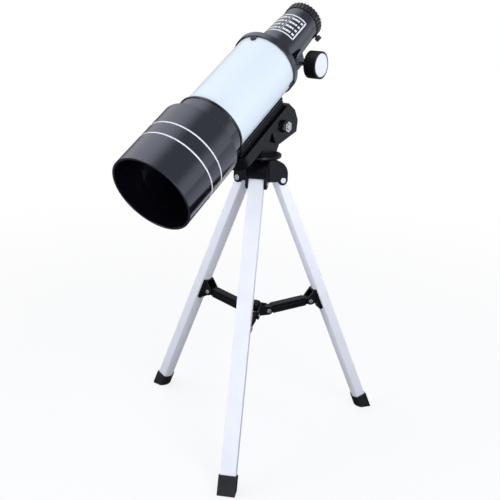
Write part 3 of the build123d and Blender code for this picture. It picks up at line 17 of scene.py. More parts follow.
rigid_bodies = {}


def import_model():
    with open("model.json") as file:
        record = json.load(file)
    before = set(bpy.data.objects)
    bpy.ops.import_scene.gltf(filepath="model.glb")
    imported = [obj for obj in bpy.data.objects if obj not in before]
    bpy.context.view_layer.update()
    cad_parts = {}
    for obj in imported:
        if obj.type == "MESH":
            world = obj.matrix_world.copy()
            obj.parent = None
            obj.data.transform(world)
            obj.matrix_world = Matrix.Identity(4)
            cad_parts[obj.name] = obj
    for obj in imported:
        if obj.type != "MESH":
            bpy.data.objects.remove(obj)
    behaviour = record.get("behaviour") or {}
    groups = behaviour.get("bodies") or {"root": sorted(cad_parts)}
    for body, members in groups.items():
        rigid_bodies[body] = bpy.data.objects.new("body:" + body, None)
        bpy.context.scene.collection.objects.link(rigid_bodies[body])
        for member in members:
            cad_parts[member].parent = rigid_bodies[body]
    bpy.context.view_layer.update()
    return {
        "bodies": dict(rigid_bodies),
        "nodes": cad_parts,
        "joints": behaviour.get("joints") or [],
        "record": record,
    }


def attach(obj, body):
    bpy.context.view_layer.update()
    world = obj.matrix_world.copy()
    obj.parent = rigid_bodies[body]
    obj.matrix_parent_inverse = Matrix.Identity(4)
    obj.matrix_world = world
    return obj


LOG = logging.getLogger("telescope")
MM = 0.001
SMOOTH_ANGLE = radians(35)

Colour = tuple[float, float, float]
Place = tuple[float, float, float]
Span = tuple[float, float]

WHITE: Colour = (1.0, 1.0, 1.0)


class Leg(Enum):
    """The three legs of the stand."""

    FRONT = "front"
    LEFT = "left"
    RIGHT = "right"


class Side(Enum):
    """The two focus knobs, seen from the eyepiece."""

    RIGHT = "right"
    LEFT = "left"


# ---- Node trees ----


class Graph:
    """A node tree with short ways to add nodes and to feed their sockets."""

    def __init__(self, tree: bpy.types.NodeTree) -> None:
        """Takes hold of a tree.

        Args:
            tree: the node tree.
        """
        self.tree = tree
        self.nodes = tree.nodes

    def feed(self, socket: bpy.types.NodeSocket, value: Any) -> None:
        """Links an input socket, or gives it a constant.

        Args:
            socket: the input socket.
            value: an output socket, a number, a vector or a colour.
        """
        if isinstance(value, bpy.types.NodeSocket):
            self.tree.links.new(value, socket)
        elif socket.type == "RGBA":
            socket.default_value = (*value, 1.0)
        else:
            socket.default_value = value

    def add(self, kind: str, inputs: dict[str | int, Any] | None = None, **settings: Any) -> Any:
        """Adds a shader node.

        Args:
            kind: the node's type without its prefix.
            inputs: socket name or number to what feeds it.
            settings: the node's own properties.

        Returns:
            The node's outputs.
        """
        node = self.nodes.new(f"ShaderNode{kind}")
        for key, value in settings.items():
            setattr(node, key, value)
        for key, value in (inputs or {}).items():
            self.feed(node.inputs[key], value)
        return node.outputs

    def math(self, operation: str, *values: Any, clamp: bool = False) -> bpy.types.NodeSocket:
        """Adds a math node.

        Args:
            operation: the operation's name.
            values: its operands, sockets or numbers.
            clamp: whether the result stays between 0 and 1.

        Returns:
            The result's socket.
        """
        return self.add("Math", dict(enumerate(values)), operation=operation, use_clamp=clamp)[0]

    def vector(self, operation: str, *values: Any, result: str = "Vector") -> bpy.types.NodeSocket:
        """Adds a vector math node.

        Args:
            operation: the operation's name.
            values: its operands, sockets or vectors.
            result: the output's name, Vector or Value.

        Returns:
            The result's socket.
        """
        return self.add("VectorMath", dict(enumerate(values)), operation=operation)[result]

    def ramp(self, value: Any, reach: Span, to: Span = (0.0, 1.0), curve: str = "LINEAR") -> bpy.types.NodeSocket:
        """Maps a value from one range to another and holds it at the ends.

        Args:
            value: the value's socket.
            reach: the range that it comes from.
            to: the range that it goes to.
            curve: LINEAR or SMOOTHSTEP.

        Returns:
            The result's socket.
        """
        ends = {"From Min": reach[0], "From Max": reach[1], "To Min": to[0], "To Max": to[1]}
        return self.add("MapRange", {"Value": value, **ends}, interpolation_type=curve)["Result"]

    def mix(self, factor: Any, low: Any, high: Any) -> bpy.types.NodeSocket:
        """Mixes two colours.

        Args:
            factor: the mask's socket.
            low: the colour or socket at 0.
            high: the colour or socket at 1.

        Returns:
            The mixed colour's socket.
        """
        return self.add("Mix", {"Factor": factor, 6: low, 7: high}, data_type="RGBA")[2]

    def noise(self, vector: Any, scale: Any, **shape: float) -> bpy.types.NodeSocket:
        """Adds noise.

        Args:
            vector: the coordinates' socket.
            scale: its scale.
            shape: other inputs, by their names in small letters.

        Returns:
            The noise's value, from 0 to 1.
        """
        inputs = {name.capitalize(): value for name, value in shape.items()}
        return self.add("TexNoise", {"Vector": vector, "Scale": scale, **inputs})["Fac"]

    def bump(self, height: Any, normal: Any, distance: float, strength: float) -> bpy.types.NodeSocket:
        """Adds relief.

        Args:
            height: the height's socket.
            normal: the socket of the normal below.
            distance: the depth of the relief.
            strength: its strength.

        Returns:
            The normal's socket.
        """
        inputs = {"Strength": strength, "Distance": distance, "Height": height, "Normal": normal}
        return self.add("Bump", inputs)["Normal"]

    def effect(self, tree: bpy.types.NodeTree, **inputs: Any) -> Any:
        """Places a shared effect.

        Args:
            tree: the effect's group.
            inputs: what feeds it, by the sockets' names in small letters.

        Returns:
            The effect's outputs.
        """
        named = {name.replace("_", " ").title(): value for name, value in inputs.items()}
        return self.add("Group", named, node_tree=tree)

    def straight_rays(self) -> bpy.types.NodeSocket:
        """Tells the rays that come from the camera, also through glass.

        Returns:
            A socket that is 1 for them and 0 for all others.
        """
        rays = self.add("LightPath")
        return self.math("MAXIMUM", rays["Is Camera Ray"], rays["Is Transmission Ray"])


class Effect(Graph):
    """A node group with named inputs and outputs."""

    def __init__(self, name: str, inputs: dict[str, Any], outputs: dict[str, str]) -> None:
        """Makes the group.

        Args:
            name: its name.
            inputs: socket name to its default: a number, a vector, or None for the coordinates.
            outputs: socket name to its kind, Float or Vector.
        """
        super().__init__(bpy.data.node_groups.new(name, "ShaderNodeTree"))
        sockets = self.tree.interface
        for title, value in inputs.items():
            kind = "Float" if isinstance(value, float) else "Vector"
            socket = sockets.new_socket(name=title, in_out="INPUT", socket_type=f"NodeSocket{kind}")
            if value is not None:
                socket.default_value = value
        for title, kind in outputs.items():
            sockets.new_socket(name=title, in_out="OUTPUT", socket_type=f"NodeSocket{kind}")
        self.given = self.nodes.new("NodeGroupInput").outputs
        self.wanted = self.nodes.new("NodeGroupOutput").inputs

    def give(self, **results: Any) -> bpy.types.NodeTree:
        """Ends the group.

        Args:
            results: what each output gives, by the outputs' names in small letters.

        Returns:
            The group's tree.
        """
        for name, value in results.items():
            self.feed(self.wanted[name.capitalize()], value)
        return self.tree


class EffectGroups:
    """The shared surface effects, each built once as a node group."""

    EDGE_TURN: Span = (0.02, 0.18)
    EDGE_PATCHES: Span = (0.35, 0.65)
    SMUDGE_SPREAD: Span = (0.45, 0.72)
    DUST_SPREAD: Span = (0.62, 0.80)
    LINE_STRETCH: Place = (1.0, 1.0, 0.01)
    BEVEL_SAMPLES = 4

    def __init__(self) -> None:
        """Builds all groups."""
        self.grain = self._grain()
        self.edge = self._edge()
        self.handling = self._handling()
        self.drawn = self._drawn()

    @staticmethod
    def _grain() -> bpy.types.NodeTree:
        """Fine moulded grain.

        Returns:
            A group that gives a height and a slow variation from 0 to 1.
        """
        group = Effect(
            "moulded_grain", {"Vector": None, "Scale": 1500.0, "Slow Scale": 40.0},
            {"Height": "Float", "Variation": "Float"},
        )
        place, scale, slow_scale, _ = group.given
        return group.give(
            height=group.noise(place, scale, detail=3.0, roughness=0.6),
            variation=group.noise(place, slow_scale, detail=2.0),
        )

    def _edge(self) -> bpy.types.NodeTree:
        """Mask of worn and rounded edges, which also serves as a painted highlight along edges.

        Returns:
            A group that gives 1 on edges and 0 on faces, and the rounded normal.
        """
        group = Effect(
            "edge_wear_and_sheen", {"Vector": None, "Radius": 0.0004, "Patch Scale": 300.0, "Amount": 0.5},
            {"Mask": "Float", "Normal": "Vector"},
        )
        place, radius, patch_scale, amount, _ = group.given
        rounded = group.add("Bevel", {"Radius": radius}, samples=self.BEVEL_SAMPLES)["Normal"]
        flat = group.add("NewGeometry")["Normal"]
        turn = group.math("SUBTRACT", 1.0, group.vector("DOT_PRODUCT", rounded, flat, result="Value"))
        patches = group.ramp(group.noise(place, patch_scale), self.EDGE_PATCHES)
        worn_and_sheen = group.math("MULTIPLY", group.ramp(turn, self.EDGE_TURN), patches)
        return group.give(mask=group.math("MULTIPLY", worn_and_sheen, amount), normal=rounded)

    def _handling(self) -> bpy.types.NodeTree:
        """Faint smudges of handling and a little settled dust.

        Returns:
            A group that gives a smudge mask and a dust mask.
        """
        group = Effect(
            "handling_and_dust", {"Vector": None, "Smudge Scale": 28.0, "Dust Scale": 900.0},
            {"Smudge": "Float", "Dust": "Float"},
        )
        place, smudge_scale, dust_scale, _ = group.given
        smudge = group.noise(place, smudge_scale, detail=4.0, distortion=0.6)
        return group.give(
            smudge=group.ramp(smudge, self.SMUDGE_SPREAD),
            dust=group.ramp(group.noise(place, dust_scale), self.DUST_SPREAD),
        )

    def _drawn(self) -> bpy.types.NodeTree:
        """Fine lines drawn along local Z, as on an extrusion.

        Returns:
            A group that gives the lines' height.
        """
        group = Effect(
            "drawn_lines", {"Vector": None, "Scale": 2200.0, "Stretch": self.LINE_STRETCH}, {"Height": "Float"},
        )
        place, scale, stretch, _ = group.given
        return group.give(height=group.noise(group.vector("MULTIPLY", place, stretch), scale, detail=2.0))


# ---- Finishes ----


@dataclass(frozen=True)
class Finish:
    """A surface finish: one base colour with grain, edge wear and painted edge highlights, smudges and dust.

    Lengths are in metres and scales are per metre.
    """

    name: str
    slot: str
    colour: Colour
    colour_drift: float = 0.06
    roughness: float = 0.5
    roughness_drift: float = 0.08
    least_roughness: float = 0.02
    metallic: float = 0.0
    specular: float = 0.5
    specular_tint: Colour = WHITE
    coat: float = 0.0
    coat_roughness: float = 0.08
    grain_scale: float = 1800.0
    grain_height: float = 0.00002
    grain_strength: float = 0.6
    slow_scale: float = 40.0
    wear_and_sheen_colour: Colour = (0.5, 0.5, 0.5)
    wear_and_sheen_radius: float = 0.0004
    wear_and_sheen: float = 0.25
    smudge: float = 0.06
    dust_colour: Colour = (0.5, 0.49, 0.47)
    dust: float = 0.03
    lines_along: Place | None = None
    lines_height: float = 0.00001
    lines_strength: float = 0.5
    transmission: float = 0.0
    ior: float = 1.5

    def build(self, groups: EffectGroups) -> bpy.types.Material:
        """Makes the material.

        Args:
            groups: the shared effects.

        Returns:
            The material, ready for a piece.
        """
        material = bpy.data.materials.new(self.name)
        material.use_nodes = True
        graph = Graph(material.node_tree)
        place = graph.add("TexCoord")["Object"]
        grain = graph.effect(groups.grain, vector=place, scale=self.grain_scale, slow_scale=self.slow_scale)
        # Edge mask: real wear, and in the glossy and ridged blacks a painted highlight along the edges.
        edge = graph.effect(groups.edge, vector=place, radius=self.wear_and_sheen_radius, amount=self.wear_and_sheen)
        marks = graph.effect(groups.handling, vector=place)
        shader = graph.nodes["Principled BSDF"].inputs
        for name, value in {
            "Base Color": self._colour(graph, grain, edge, marks),
            "Roughness": self._roughness(graph, grain, marks),
            "Normal": self._normal(graph, groups, place, grain, edge),
            "Metallic": self.metallic,
            "Specular IOR Level": self.specular,
            "Specular Tint": self.specular_tint,
            "Coat Weight": self.coat,
            "Coat Roughness": self.coat_roughness,
            "Transmission Weight": self.transmission,
            "IOR": self.ior,
        }.items():
            graph.feed(shader[name], value)
        return material

    def _colour(self, graph: Graph, grain: Any, edge: Any, marks: Any) -> bpy.types.NodeSocket:
        """Lets the colour drift, then lays dust, and edge wear with painted edge highlights, over it.

        Args:
            graph: the material's nodes.
            grain: the grain's outputs.
            edge: the outputs of the edge wear and painted edge highlights.
            marks: the outputs of handling and dust.

        Returns:
            The colour's socket.
        """
        light = tuple(min(1.0, part * (1 + self.colour_drift)) for part in self.colour)
        deep = tuple(part * (1 - self.colour_drift) for part in self.colour)
        body = graph.mix(grain["Variation"], deep, light)
        dusty = graph.mix(graph.math("MULTIPLY", marks["Dust"], self.dust), body, self.dust_colour)
        # Recolours the edges: real wear, and in the glossy and ridged blacks a painted highlight.
        return graph.mix(edge["Mask"], dusty, self.wear_and_sheen_colour)

    def _roughness(self, graph: Graph, grain: Any, marks: Any) -> bpy.types.NodeSocket:
        """Lets the roughness drift and adds the smudges.

        Args:
            graph: the material's nodes.
            grain: the grain's outputs.
            marks: the outputs of handling and dust.

        Returns:
            The roughness's socket.
        """
        low = max(self.least_roughness, self.roughness - self.roughness_drift)
        high = min(1.0, self.roughness + self.roughness_drift)
        rough = graph.ramp(grain["Variation"], (0.0, 1.0), (low, high))
        return graph.math("ADD", rough, graph.math("MULTIPLY", marks["Smudge"], self.smudge), clamp=True)

    def _normal(
        self, graph: Graph, groups: EffectGroups, place: Any, grain: Any, edge: Any
    ) -> bpy.types.NodeSocket:
        """Lays the grain, and drawn lines where there are any, over the rounded edges.

        Args:
            graph: the material's nodes.
            groups: the shared effects.
            place: the coordinates' socket.
            grain: the grain's outputs.
            edge: the outputs of the edge wear and painted edge highlights.

        Returns:
            The normal's socket.
        """
        normal = graph.bump(grain["Height"], edge["Normal"], self.grain_height, self.grain_strength)
        if self.lines_along is None:
            return normal
        upright = Vector(self.lines_along).rotation_difference(Vector((0, 0, 1)))
        turned = graph.add("Mapping", {"Vector": place, "Rotation": upright.to_euler()})["Vector"]
        drawn = graph.effect(groups.drawn, vector=turned)
        return graph.bump(drawn["Height"], normal, self.lines_height, self.lines_strength)


# The edge wear here is a painted highlight: its lighter colour draws a thin bright line along the edges of the
# hood rim, collar and housing.
GLOSS_BLACK = Finish(
    "gloss_black_moulding", "black_gloss_plastic", (0.0032, 0.0032, 0.0062), roughness=0.08, roughness_drift=0.02,
    specular=1.0, specular_tint=(0.84, 0.87, 1.0), coat=0.2, coat_roughness=0.05, grain_scale=700.0,
    grain_height=0.000010, wear_and_sheen=0.15, wear_and_sheen_radius=0.0006, wear_and_sheen_colour=(0.06, 0.065, 0.08), smudge=0.04, dust=0.01,
)
MATT_INSIDE = Finish(
    "matt_black_inside", "black_matte_plastic", (0.012, 0.012, 0.013), roughness=0.62, specular=0.3,
    grain_scale=2500.0, grain_height=0.00003, wear_and_sheen=0.05, wear_and_sheen_colour=(0.05, 0.05, 0.05), dust=0.03,
)
TUBE_ENAMEL = Finish(
    "icy_white_enamel", "white_tube_paint", (0.77, 0.85, 0.90), colour_drift=0.015, roughness=0.34,
    roughness_drift=0.04, coat=0.4, coat_roughness=0.15, grain_scale=900.0, grain_height=0.000008, wear_and_sheen=0.15,
    wear_and_sheen_colour=(0.50, 0.54, 0.57), smudge=0.04, dust=0.02, dust_colour=(0.50, 0.51, 0.51),
)
LENS_GLASS = Finish(
    "coated_lens_glass", "coated_glass", (0.80, 0.86, 0.98), colour_drift=0.01, roughness=0.03,
    roughness_drift=0.01, transmission=1.0, ior=1.52, grain_height=0.0, wear_and_sheen=0.0, smudge=0.02, dust=0.01,
    coat=0.3, coat_roughness=0.02,
)
SATIN_BLACK = Finish(
    "satin_black_moulding", "black_matte_plastic", (0.003, 0.003, 0.0045), roughness=0.27, specular=0.22,
    specular_tint=(0.90, 0.92, 1.0), grain_scale=2200.0, grain_height=0.00003, wear_and_sheen=0.30,
    wear_and_sheen_colour=(0.07, 0.07, 0.08), smudge=0.08, dust=0.03,
)
# The strong edge wear here is a painted highlight: it lightens the ridges of the grip as if they were lit.
RIDGED_BLACK = Finish(
    "ridged_black_grip", "black_matte_plastic", (0.004, 0.004, 0.005), roughness=0.26, specular=0.7,
    grain_scale=2600.0, grain_height=0.00002, wear_and_sheen=0.85, wear_and_sheen_radius=0.0003, wear_and_sheen_colour=(0.10, 0.10, 0.115),
    smudge=0.06, dust=0.03,
)
KNOB_BLACK = Finish(
    "knob_black", "black_matte_plastic", (0.003, 0.003, 0.0035), roughness=0.38, specular=0.3, grain_scale=2400.0,
    grain_height=0.00002, wear_and_sheen=0.35, wear_and_sheen_colour=(0.05, 0.05, 0.055), smudge=0.10, dust=0.02,
)
BLACK_ANODISED = Finish(
    "black_anodised_metal", "black_anodised_aluminium", (0.03, 0.03, 0.035), roughness=0.32, metallic=0.8,
    grain_scale=3000.0, grain_height=0.000006, wear_and_sheen=0.4, wear_and_sheen_colour=(0.4, 0.4, 0.42), dust=0.01,
)
WHITE_TRIM = Finish(
    "white_trim_gloss", "white_trim", (0.90, 0.92, 0.95), colour_drift=0.01, roughness=0.28, coat=0.2,
    grain_scale=900.0, grain_height=0.000004, wear_and_sheen=0.02, wear_and_sheen_colour=(0.6, 0.6, 0.6), dust=0.02,
)
BLACK_STEEL = Finish(
    "blackened_steel", "black_steel", (0.04, 0.04, 0.045), roughness=0.33, metallic=0.9, grain_scale=2500.0,
    grain_height=0.00001, wear_and_sheen=0.5, wear_and_sheen_colour=(0.35, 0.35, 0.36), dust=0.02,
)
BRIGHT_STEEL = Finish(
    "bright_plated_steel", "bright_steel", (0.66, 0.66, 0.68), colour_drift=0.03, roughness=0.22, metallic=0.9,
    grain_scale=2500.0, grain_height=0.000006, wear_and_sheen=0.2, wear_and_sheen_colour=(0.9, 0.9, 0.9), dust=0.02,
)
RUBBER = Finish(
    "foot_rubber", "black_rubber", (0.010, 0.010, 0.012), roughness=0.42, grain_scale=1400.0, specular=0.6,
    grain_height=0.00006, wear_and_sheen=0.35, wear_and_sheen_colour=(0.07, 0.07, 0.07), smudge=0.10, dust=0.10,
    dust_colour=(0.30, 0.30, 0.30),
)


def leg_finish(leg: Leg, direction: Vector) -> Finish:
    """The drawn and anodised aluminium of one leg.

    Args:
        leg: the leg.
        direction: the leg's length, along which its lines run.

    Returns:
        The finish.
    """
    return Finish(
        f"anodised_leg_{leg.value}", "satin_aluminium", (0.92, 0.925, 0.97), colour_drift=0.02,
        roughness=0.42, roughness_drift=0.05, metallic=0.15, grain_scale=3000.0, grain_height=0.000006,
        wear_and_sheen=0.2, wear_and_sheen_colour=(0.9, 0.9, 0.92), smudge=0.06, dust=0.02, lines_along=tuple(direction),
        lines_height=0.00002,
    )


# ---- Workshop ----


@dataclass
class Workshop:
    """The loaded frame with the finishes made so far.

    Attributes:
        groups: the shared effects.
        made: the materials, by their finishes' names.
    """

    frame: dict[str, Any]
    groups: EffectGroups
    made: dict[str, bpy.types.Material] = field(default_factory=dict)

    def material(self, finish: Finish) -> bpy.types.Material:
        """Gives a finish's material, made on first use.

        Args:
            finish: the finish.

        Returns:
            The material.
        """
        if finish.name not in self.made:
            self.made[finish.name] = finish.build(self.groups)
        return self.made[finish.name]

    def dress(self, finish: Finish, *nodes: str) -> None:
        """Gives solids of the frame a finish.

        Args:
            finish: the finish.
            nodes: the solids' names.
        """
        for name in nodes:
            solid = self.frame["nodes"][name]
            solid.data.materials.clear()
            solid.data.materials.append(self.material(finish))
            LOG.info("dressed %s in %s", name, finish.name)

    def mount(self, name: str) -> tuple[Vector, Vector]:
        """Finds a mount.

        Args:
            name: the mount's name.

        Returns:
            Its position and axis.
        """
        found = next(m for m in self.frame["record"]["mounts"] if m["name"] == name)
        return Vector(found["pos_m"]), Vector(found["axis"])

    def joint(self, name: str) -> Vector:
        """Finds a joint.

        Args:
            name: the joint's name.

        Returns:
            Its position.
        """
        return Vector(next(j for j in self.frame["joints"] if j["name"] == name)["pos_m"])

    def finished(self, piece: bpy.types.Object, finish: Finish, body: str) -> None:
        """Dresses a new piece, smooths it and lets it ride on a body.

        Args:
            piece: the new piece, in its place.
            finish: its finish.
            body: the body that carries it.
        """
        select_only(piece)
        bpy.ops.object.transform_apply(location=True, rotation=True, scale=True)
        bpy.ops.object.shade_smooth_by_angle(angle=SMOOTH_ANGLE)
        piece.data.materials.clear()
        piece.data.materials.append(self.material(finish))
        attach(piece, body)
        LOG.info("made %s: %d faces, rides on %s", piece.name, len(piece.data.polygons), body)


def select_only(*pieces: bpy.types.Object) -> None:
    """Deselects everything, then selects some pieces and makes the first one active.

    Args:
        pieces: the pieces to select, or nothing.
    """
    if bpy.context.object is not None and bpy.context.object.mode != "OBJECT":
        bpy.ops.object.mode_set(mode="OBJECT")
    bpy.ops.object.select_all(action="DESELECT")
    for piece in pieces:
        piece.select_set(True)
    if pieces:
        bpy.context.view_layer.objects.active = pieces[0]


def apply_modifier(piece: bpy.types.Object, kind: str, **settings: Any) -> None:
    """Adds a modifier to a piece and applies it.

    Args:
        piece: the piece.
        kind: the modifier's type.
        settings: its settings.
    """
    select_only(piece)
    bpy.ops.object.modifier_add(type=kind)
    modifier = piece.modifiers[-1]
    for key, value in settings.items():
        setattr(modifier, key, value)
    bpy.ops.object.modifier_apply(modifier=modifier.name)


@dataclass
class TubeLine:
    """The line of sight of the telescope, measured from one of its mouths inwards."""

    mouth: Vector
    along: Vector

    def placing(self, station: float) -> Matrix:
        """Gives the placing whose local Z runs along the tube and whose local Y points up.

        Args:
            station: the distance from the mouth.

        Returns:
            The matrix.
        """
        side = Vector((0, 1, 0))
        up = self.along.cross(side)
        up = up if up.z > 0 else -up
        x_axis = up.cross(self.along)
        turn = Matrix((x_axis, up, self.along)).transposed().to_4x4()
        return Matrix.Translation(self.mouth + self.along * station) @ turn


# ---- Sub-assemblies ----


@dataclass
class OpticalTube:
    """Hood, objective, main tube and their trim."""

    shop: Workshop
    line: TubeLine
    hood_radius: float = 41.0 * MM
    stripe_stations: Span = (35.1 * MM, 50.3 * MM)
    stripe_width: float = 1.6 * MM
    stripe_thickness: float = 0.08 * MM
    stripe_edge: float = 0.032 * MM
    stripe_faces: int = 144

    def build(self) -> None:
        """Dresses the tube's solids and adds the hood's white lines."""
        self.shop.dress(GLOSS_BLACK, "dew_shield", "objective_cell")
        self.shop.dress(TUBE_ENAMEL, "main_tube")
        self.shop.dress(LENS_GLASS, "objective_front_lens", "objective_rear_lens")
        self.shop.dress(MATT_INSIDE, "lens_spacer", "lens_retaining_ring", "tube_baffle")
        self.shop.dress(BLACK_STEEL, "tube_screws")
        for number, station in enumerate(self.stripe_stations, start=1):
            self._stripe(f"hood_line_{number}", station)

    def _stripe(self, name: str, station: float) -> None:
        """Makes one white line round the hood.

        Args:
            name: the piece's name.
            station: the line's middle, from the mouth.
        """
        select_only()
        bpy.ops.mesh.primitive_cylinder_add(
            vertices=self.stripe_faces, radius=self.hood_radius, depth=self.stripe_width,
            end_fill_type="NOTHING",
        )
        stripe = bpy.context.object
        stripe.name = name
        apply_modifier(stripe, "SOLIDIFY", thickness=self.stripe_thickness, offset=1.0)
        apply_modifier(stripe, "BEVEL", width=self.stripe_edge, segments=2, limit_method="ANGLE")
        stripe.matrix_world = self.line.placing(station)
        self.shop.finished(stripe, WHITE_TRIM, "telescope")


@dataclass(frozen=True)
class Patch:
    """A stretch of the housing's surface: stations from the socket's mouth and angles from the top.

    Angles in degrees grow towards the right-hand knob.
    """

    near: float
    far: float
    start: float
    end: float


@dataclass
class Focuser:
    """Housing, draw tube, rack drive, knobs and eyepiece ring."""

    shop: Workshop
    socket: TubeLine
    cone_stations: Span = (16.7 * MM, 68.1 * MM)
    cone_radii: Span = (19.7 * MM, 22.4 * MM)
    print_height: float = 0.10 * MM
    print_sink: float = 0.20 * MM
    faces_round: int = 360
    label: Patch = Patch(22.0 * MM, 53.4 * MM, -52.0, 61.0)
    frame_width: float = 1.6 * MM
    divider_angle: float = 14.0
    divider_width: float = 0.5 * MM
    rows: int = 4
    bar_share: float = 0.40
    row_margin: float = 2.4 * MM
    bar_angles: tuple[Span, ...] = (
        (-40.0, -35.0), (-33.8, -29.0), (-25.0, -17.0), (-16.0, -8.0), (-7.0, 1.5),
        (5.0, 10.0), (18.5, 26.5), (27.4, 36.0), (36.9, 42.5), (46.5, 54.0),
    )

    def build(self) -> None:
        """Dresses the focuser's solids and adds the blank label."""
        self.shop.dress(GLOSS_BLACK, "focuser_housing", "pinion_cover")
        self.shop.dress(BLACK_STEEL, "pinion_cover_screws")
        self.shop.dress(BLACK_ANODISED, "draw_tube", "eyepiece_thumbscrew")
        self.shop.dress(SATIN_BLACK, "focus_rack", "focus_pinion")
        self.shop.dress(RIDGED_BLACK, "eyepiece_ring")
        self._frame()
        self._bars()
        self.shop.dress(BRIGHT_STEEL, "pinion_shaft")
        for side in Side:
            self.shop.dress(KNOB_BLACK, f"focus_knob_{side.value}")
            self.shop.dress(WHITE_TRIM, f"knob_cap_{side.value}")

    def _radius(self, station: float) -> float:
        """Gives the housing's radius.

        Args:
            station: the distance from the socket's mouth.

        Returns:
            The radius of its cone there.
        """
        (near, far), (small, large) = self.cone_stations, self.cone_radii
        return small + (large - small) * (station - near) / (far - near)

    def _print(self, patch: Patch) -> bpy.types.Object:
        """Makes one thin printed patch on the housing's cone.

        Args:
            patch: its stretch of the surface.

        Returns:
            The patch, closed, in its place.
        """
        select_only()
        bpy.ops.mesh.primitive_cone_add(
            vertices=self.faces_round,
            radius1=self._radius(patch.near) - self.print_sink,
            radius2=self._radius(patch.far) - self.print_sink,
            depth=patch.far - patch.near,
            end_fill_type="NOTHING",
        )
        made = bpy.context.object
        bpy.ops.object.mode_set(mode="EDIT")
        bpy.ops.mesh.select_mode(type="FACE")
        bpy.ops.mesh.select_all(action="DESELECT")
        bpy.ops.object.mode_set(mode="OBJECT")
        for face in made.data.polygons:
            angle = degrees(atan2(face.center.x, face.center.y))
            face.select = not patch.start <= angle <= patch.end
        bpy.ops.object.mode_set(mode="EDIT")
        bpy.ops.mesh.delete(type="FACE")
        bpy.ops.object.mode_set(mode="OBJECT")
        apply_modifier(made, "SOLIDIFY", thickness=self.print_sink + self.print_height, offset=1.0)
        made.matrix_world = self.socket.placing((patch.near + patch.far) / 2)
        return made

    def _joined(self, name: str, patches: list[Patch]) -> None:
        """Makes one piece of several printed patches.

        Args:
            name: the piece's name.
            patches: its patches.
        """
        made = [self._print(patch) for patch in patches]
        select_only(*made)
        bpy.ops.object.join()
        bpy.context.object.name = name
        self.shop.finished(bpy.context.object, WHITE_TRIM, "telescope")

    def _frame(self) -> None:
        """Prints the label's frame and its dividing line."""
        label, width, margin, middle = self.label, self.frame_width, self.row_margin, self.divider_angle
        wide, thin = (degrees(line / self._radius(label.far)) for line in (width, self.divider_width))
        self._joined("label_frame", [
            Patch(label.near, label.near + width, label.start, label.end),
            Patch(label.far - width, label.far, label.start, label.end),
            Patch(label.near, label.far, label.end - wide, label.end),
            Patch(label.near, label.far, label.start, label.start + wide),
            Patch(label.near + margin, label.far - margin, middle, middle + thin),
        ])

    def _bars(self) -> None:
        """Prints plain bars where a label would have its rows."""
        label = self.label
        pitch = (label.far - label.near - 2 * self.row_margin) / self.rows
        bars = []
        for row in range(self.rows):
            middle = label.near + self.row_margin + pitch * (row + 0.5)
            half = pitch * self.bar_share / 2
            bars += [Patch(middle - half, middle + half, start, end) for start, end in self.bar_angles]
        self._joined("label_bars", bars)


@dataclass
class TiltHead:
    """Rail, platform, tilt clamp and pan head."""

    shop: Workshop

    def build(self) -> None:
        """Dresses the head's solids."""
        self.shop.dress(SATIN_BLACK, "saddle_rail", "tilt_platform", "tilt_washers", "pan_head", "pan_washer")
        self.shop.dress(KNOB_BLACK, "tilt_knob")
        self.shop.dress(RUBBER, "saddle_pad")
        self.shop.dress(BLACK_STEEL, "rail_screws", "mounting_screw", "pan_bolt")
        self.shop.dress(BRIGHT_STEEL, "tilt_bolt", "tilt_nut")


@dataclass
class Stand:
    """Crown, legs and spreader."""

    shop: Workshop

    def build(self) -> None:
        """Dresses the stand's solids."""
        self.shop.dress(SATIN_BLACK, "crown", "spreader_hub", "hub_cap")
        self.shop.dress(BRIGHT_STEEL, "leg_pins", "hub_rivets")
        for leg in Leg:
            foot, _ = self.shop.mount(f"foot_base_{leg.value}")
            direction = (foot - self.shop.joint(f"leg_fold_{leg.value}")).normalized()
            self.shop.dress(leg_finish(leg, direction), f"leg_{leg.value}")
            self.shop.dress(RUBBER, f"foot_{leg.value}")
            self.shop.dress(SATIN_BLACK, f"leg_bracket_{leg.value}", f"spreader_arm_{leg.value}")
            self.shop.dress(BRIGHT_STEEL, f"bracket_pin_{leg.value}", f"arm_pin_{leg.value}")


# ---- Studio ----


@dataclass(frozen=True)
class Lamp:
    """A soft square lamp: where it hangs, the point that it faces, its side and its power in watts."""

    name: str
    place: Place
    aim: Place
    size: float
    power: float


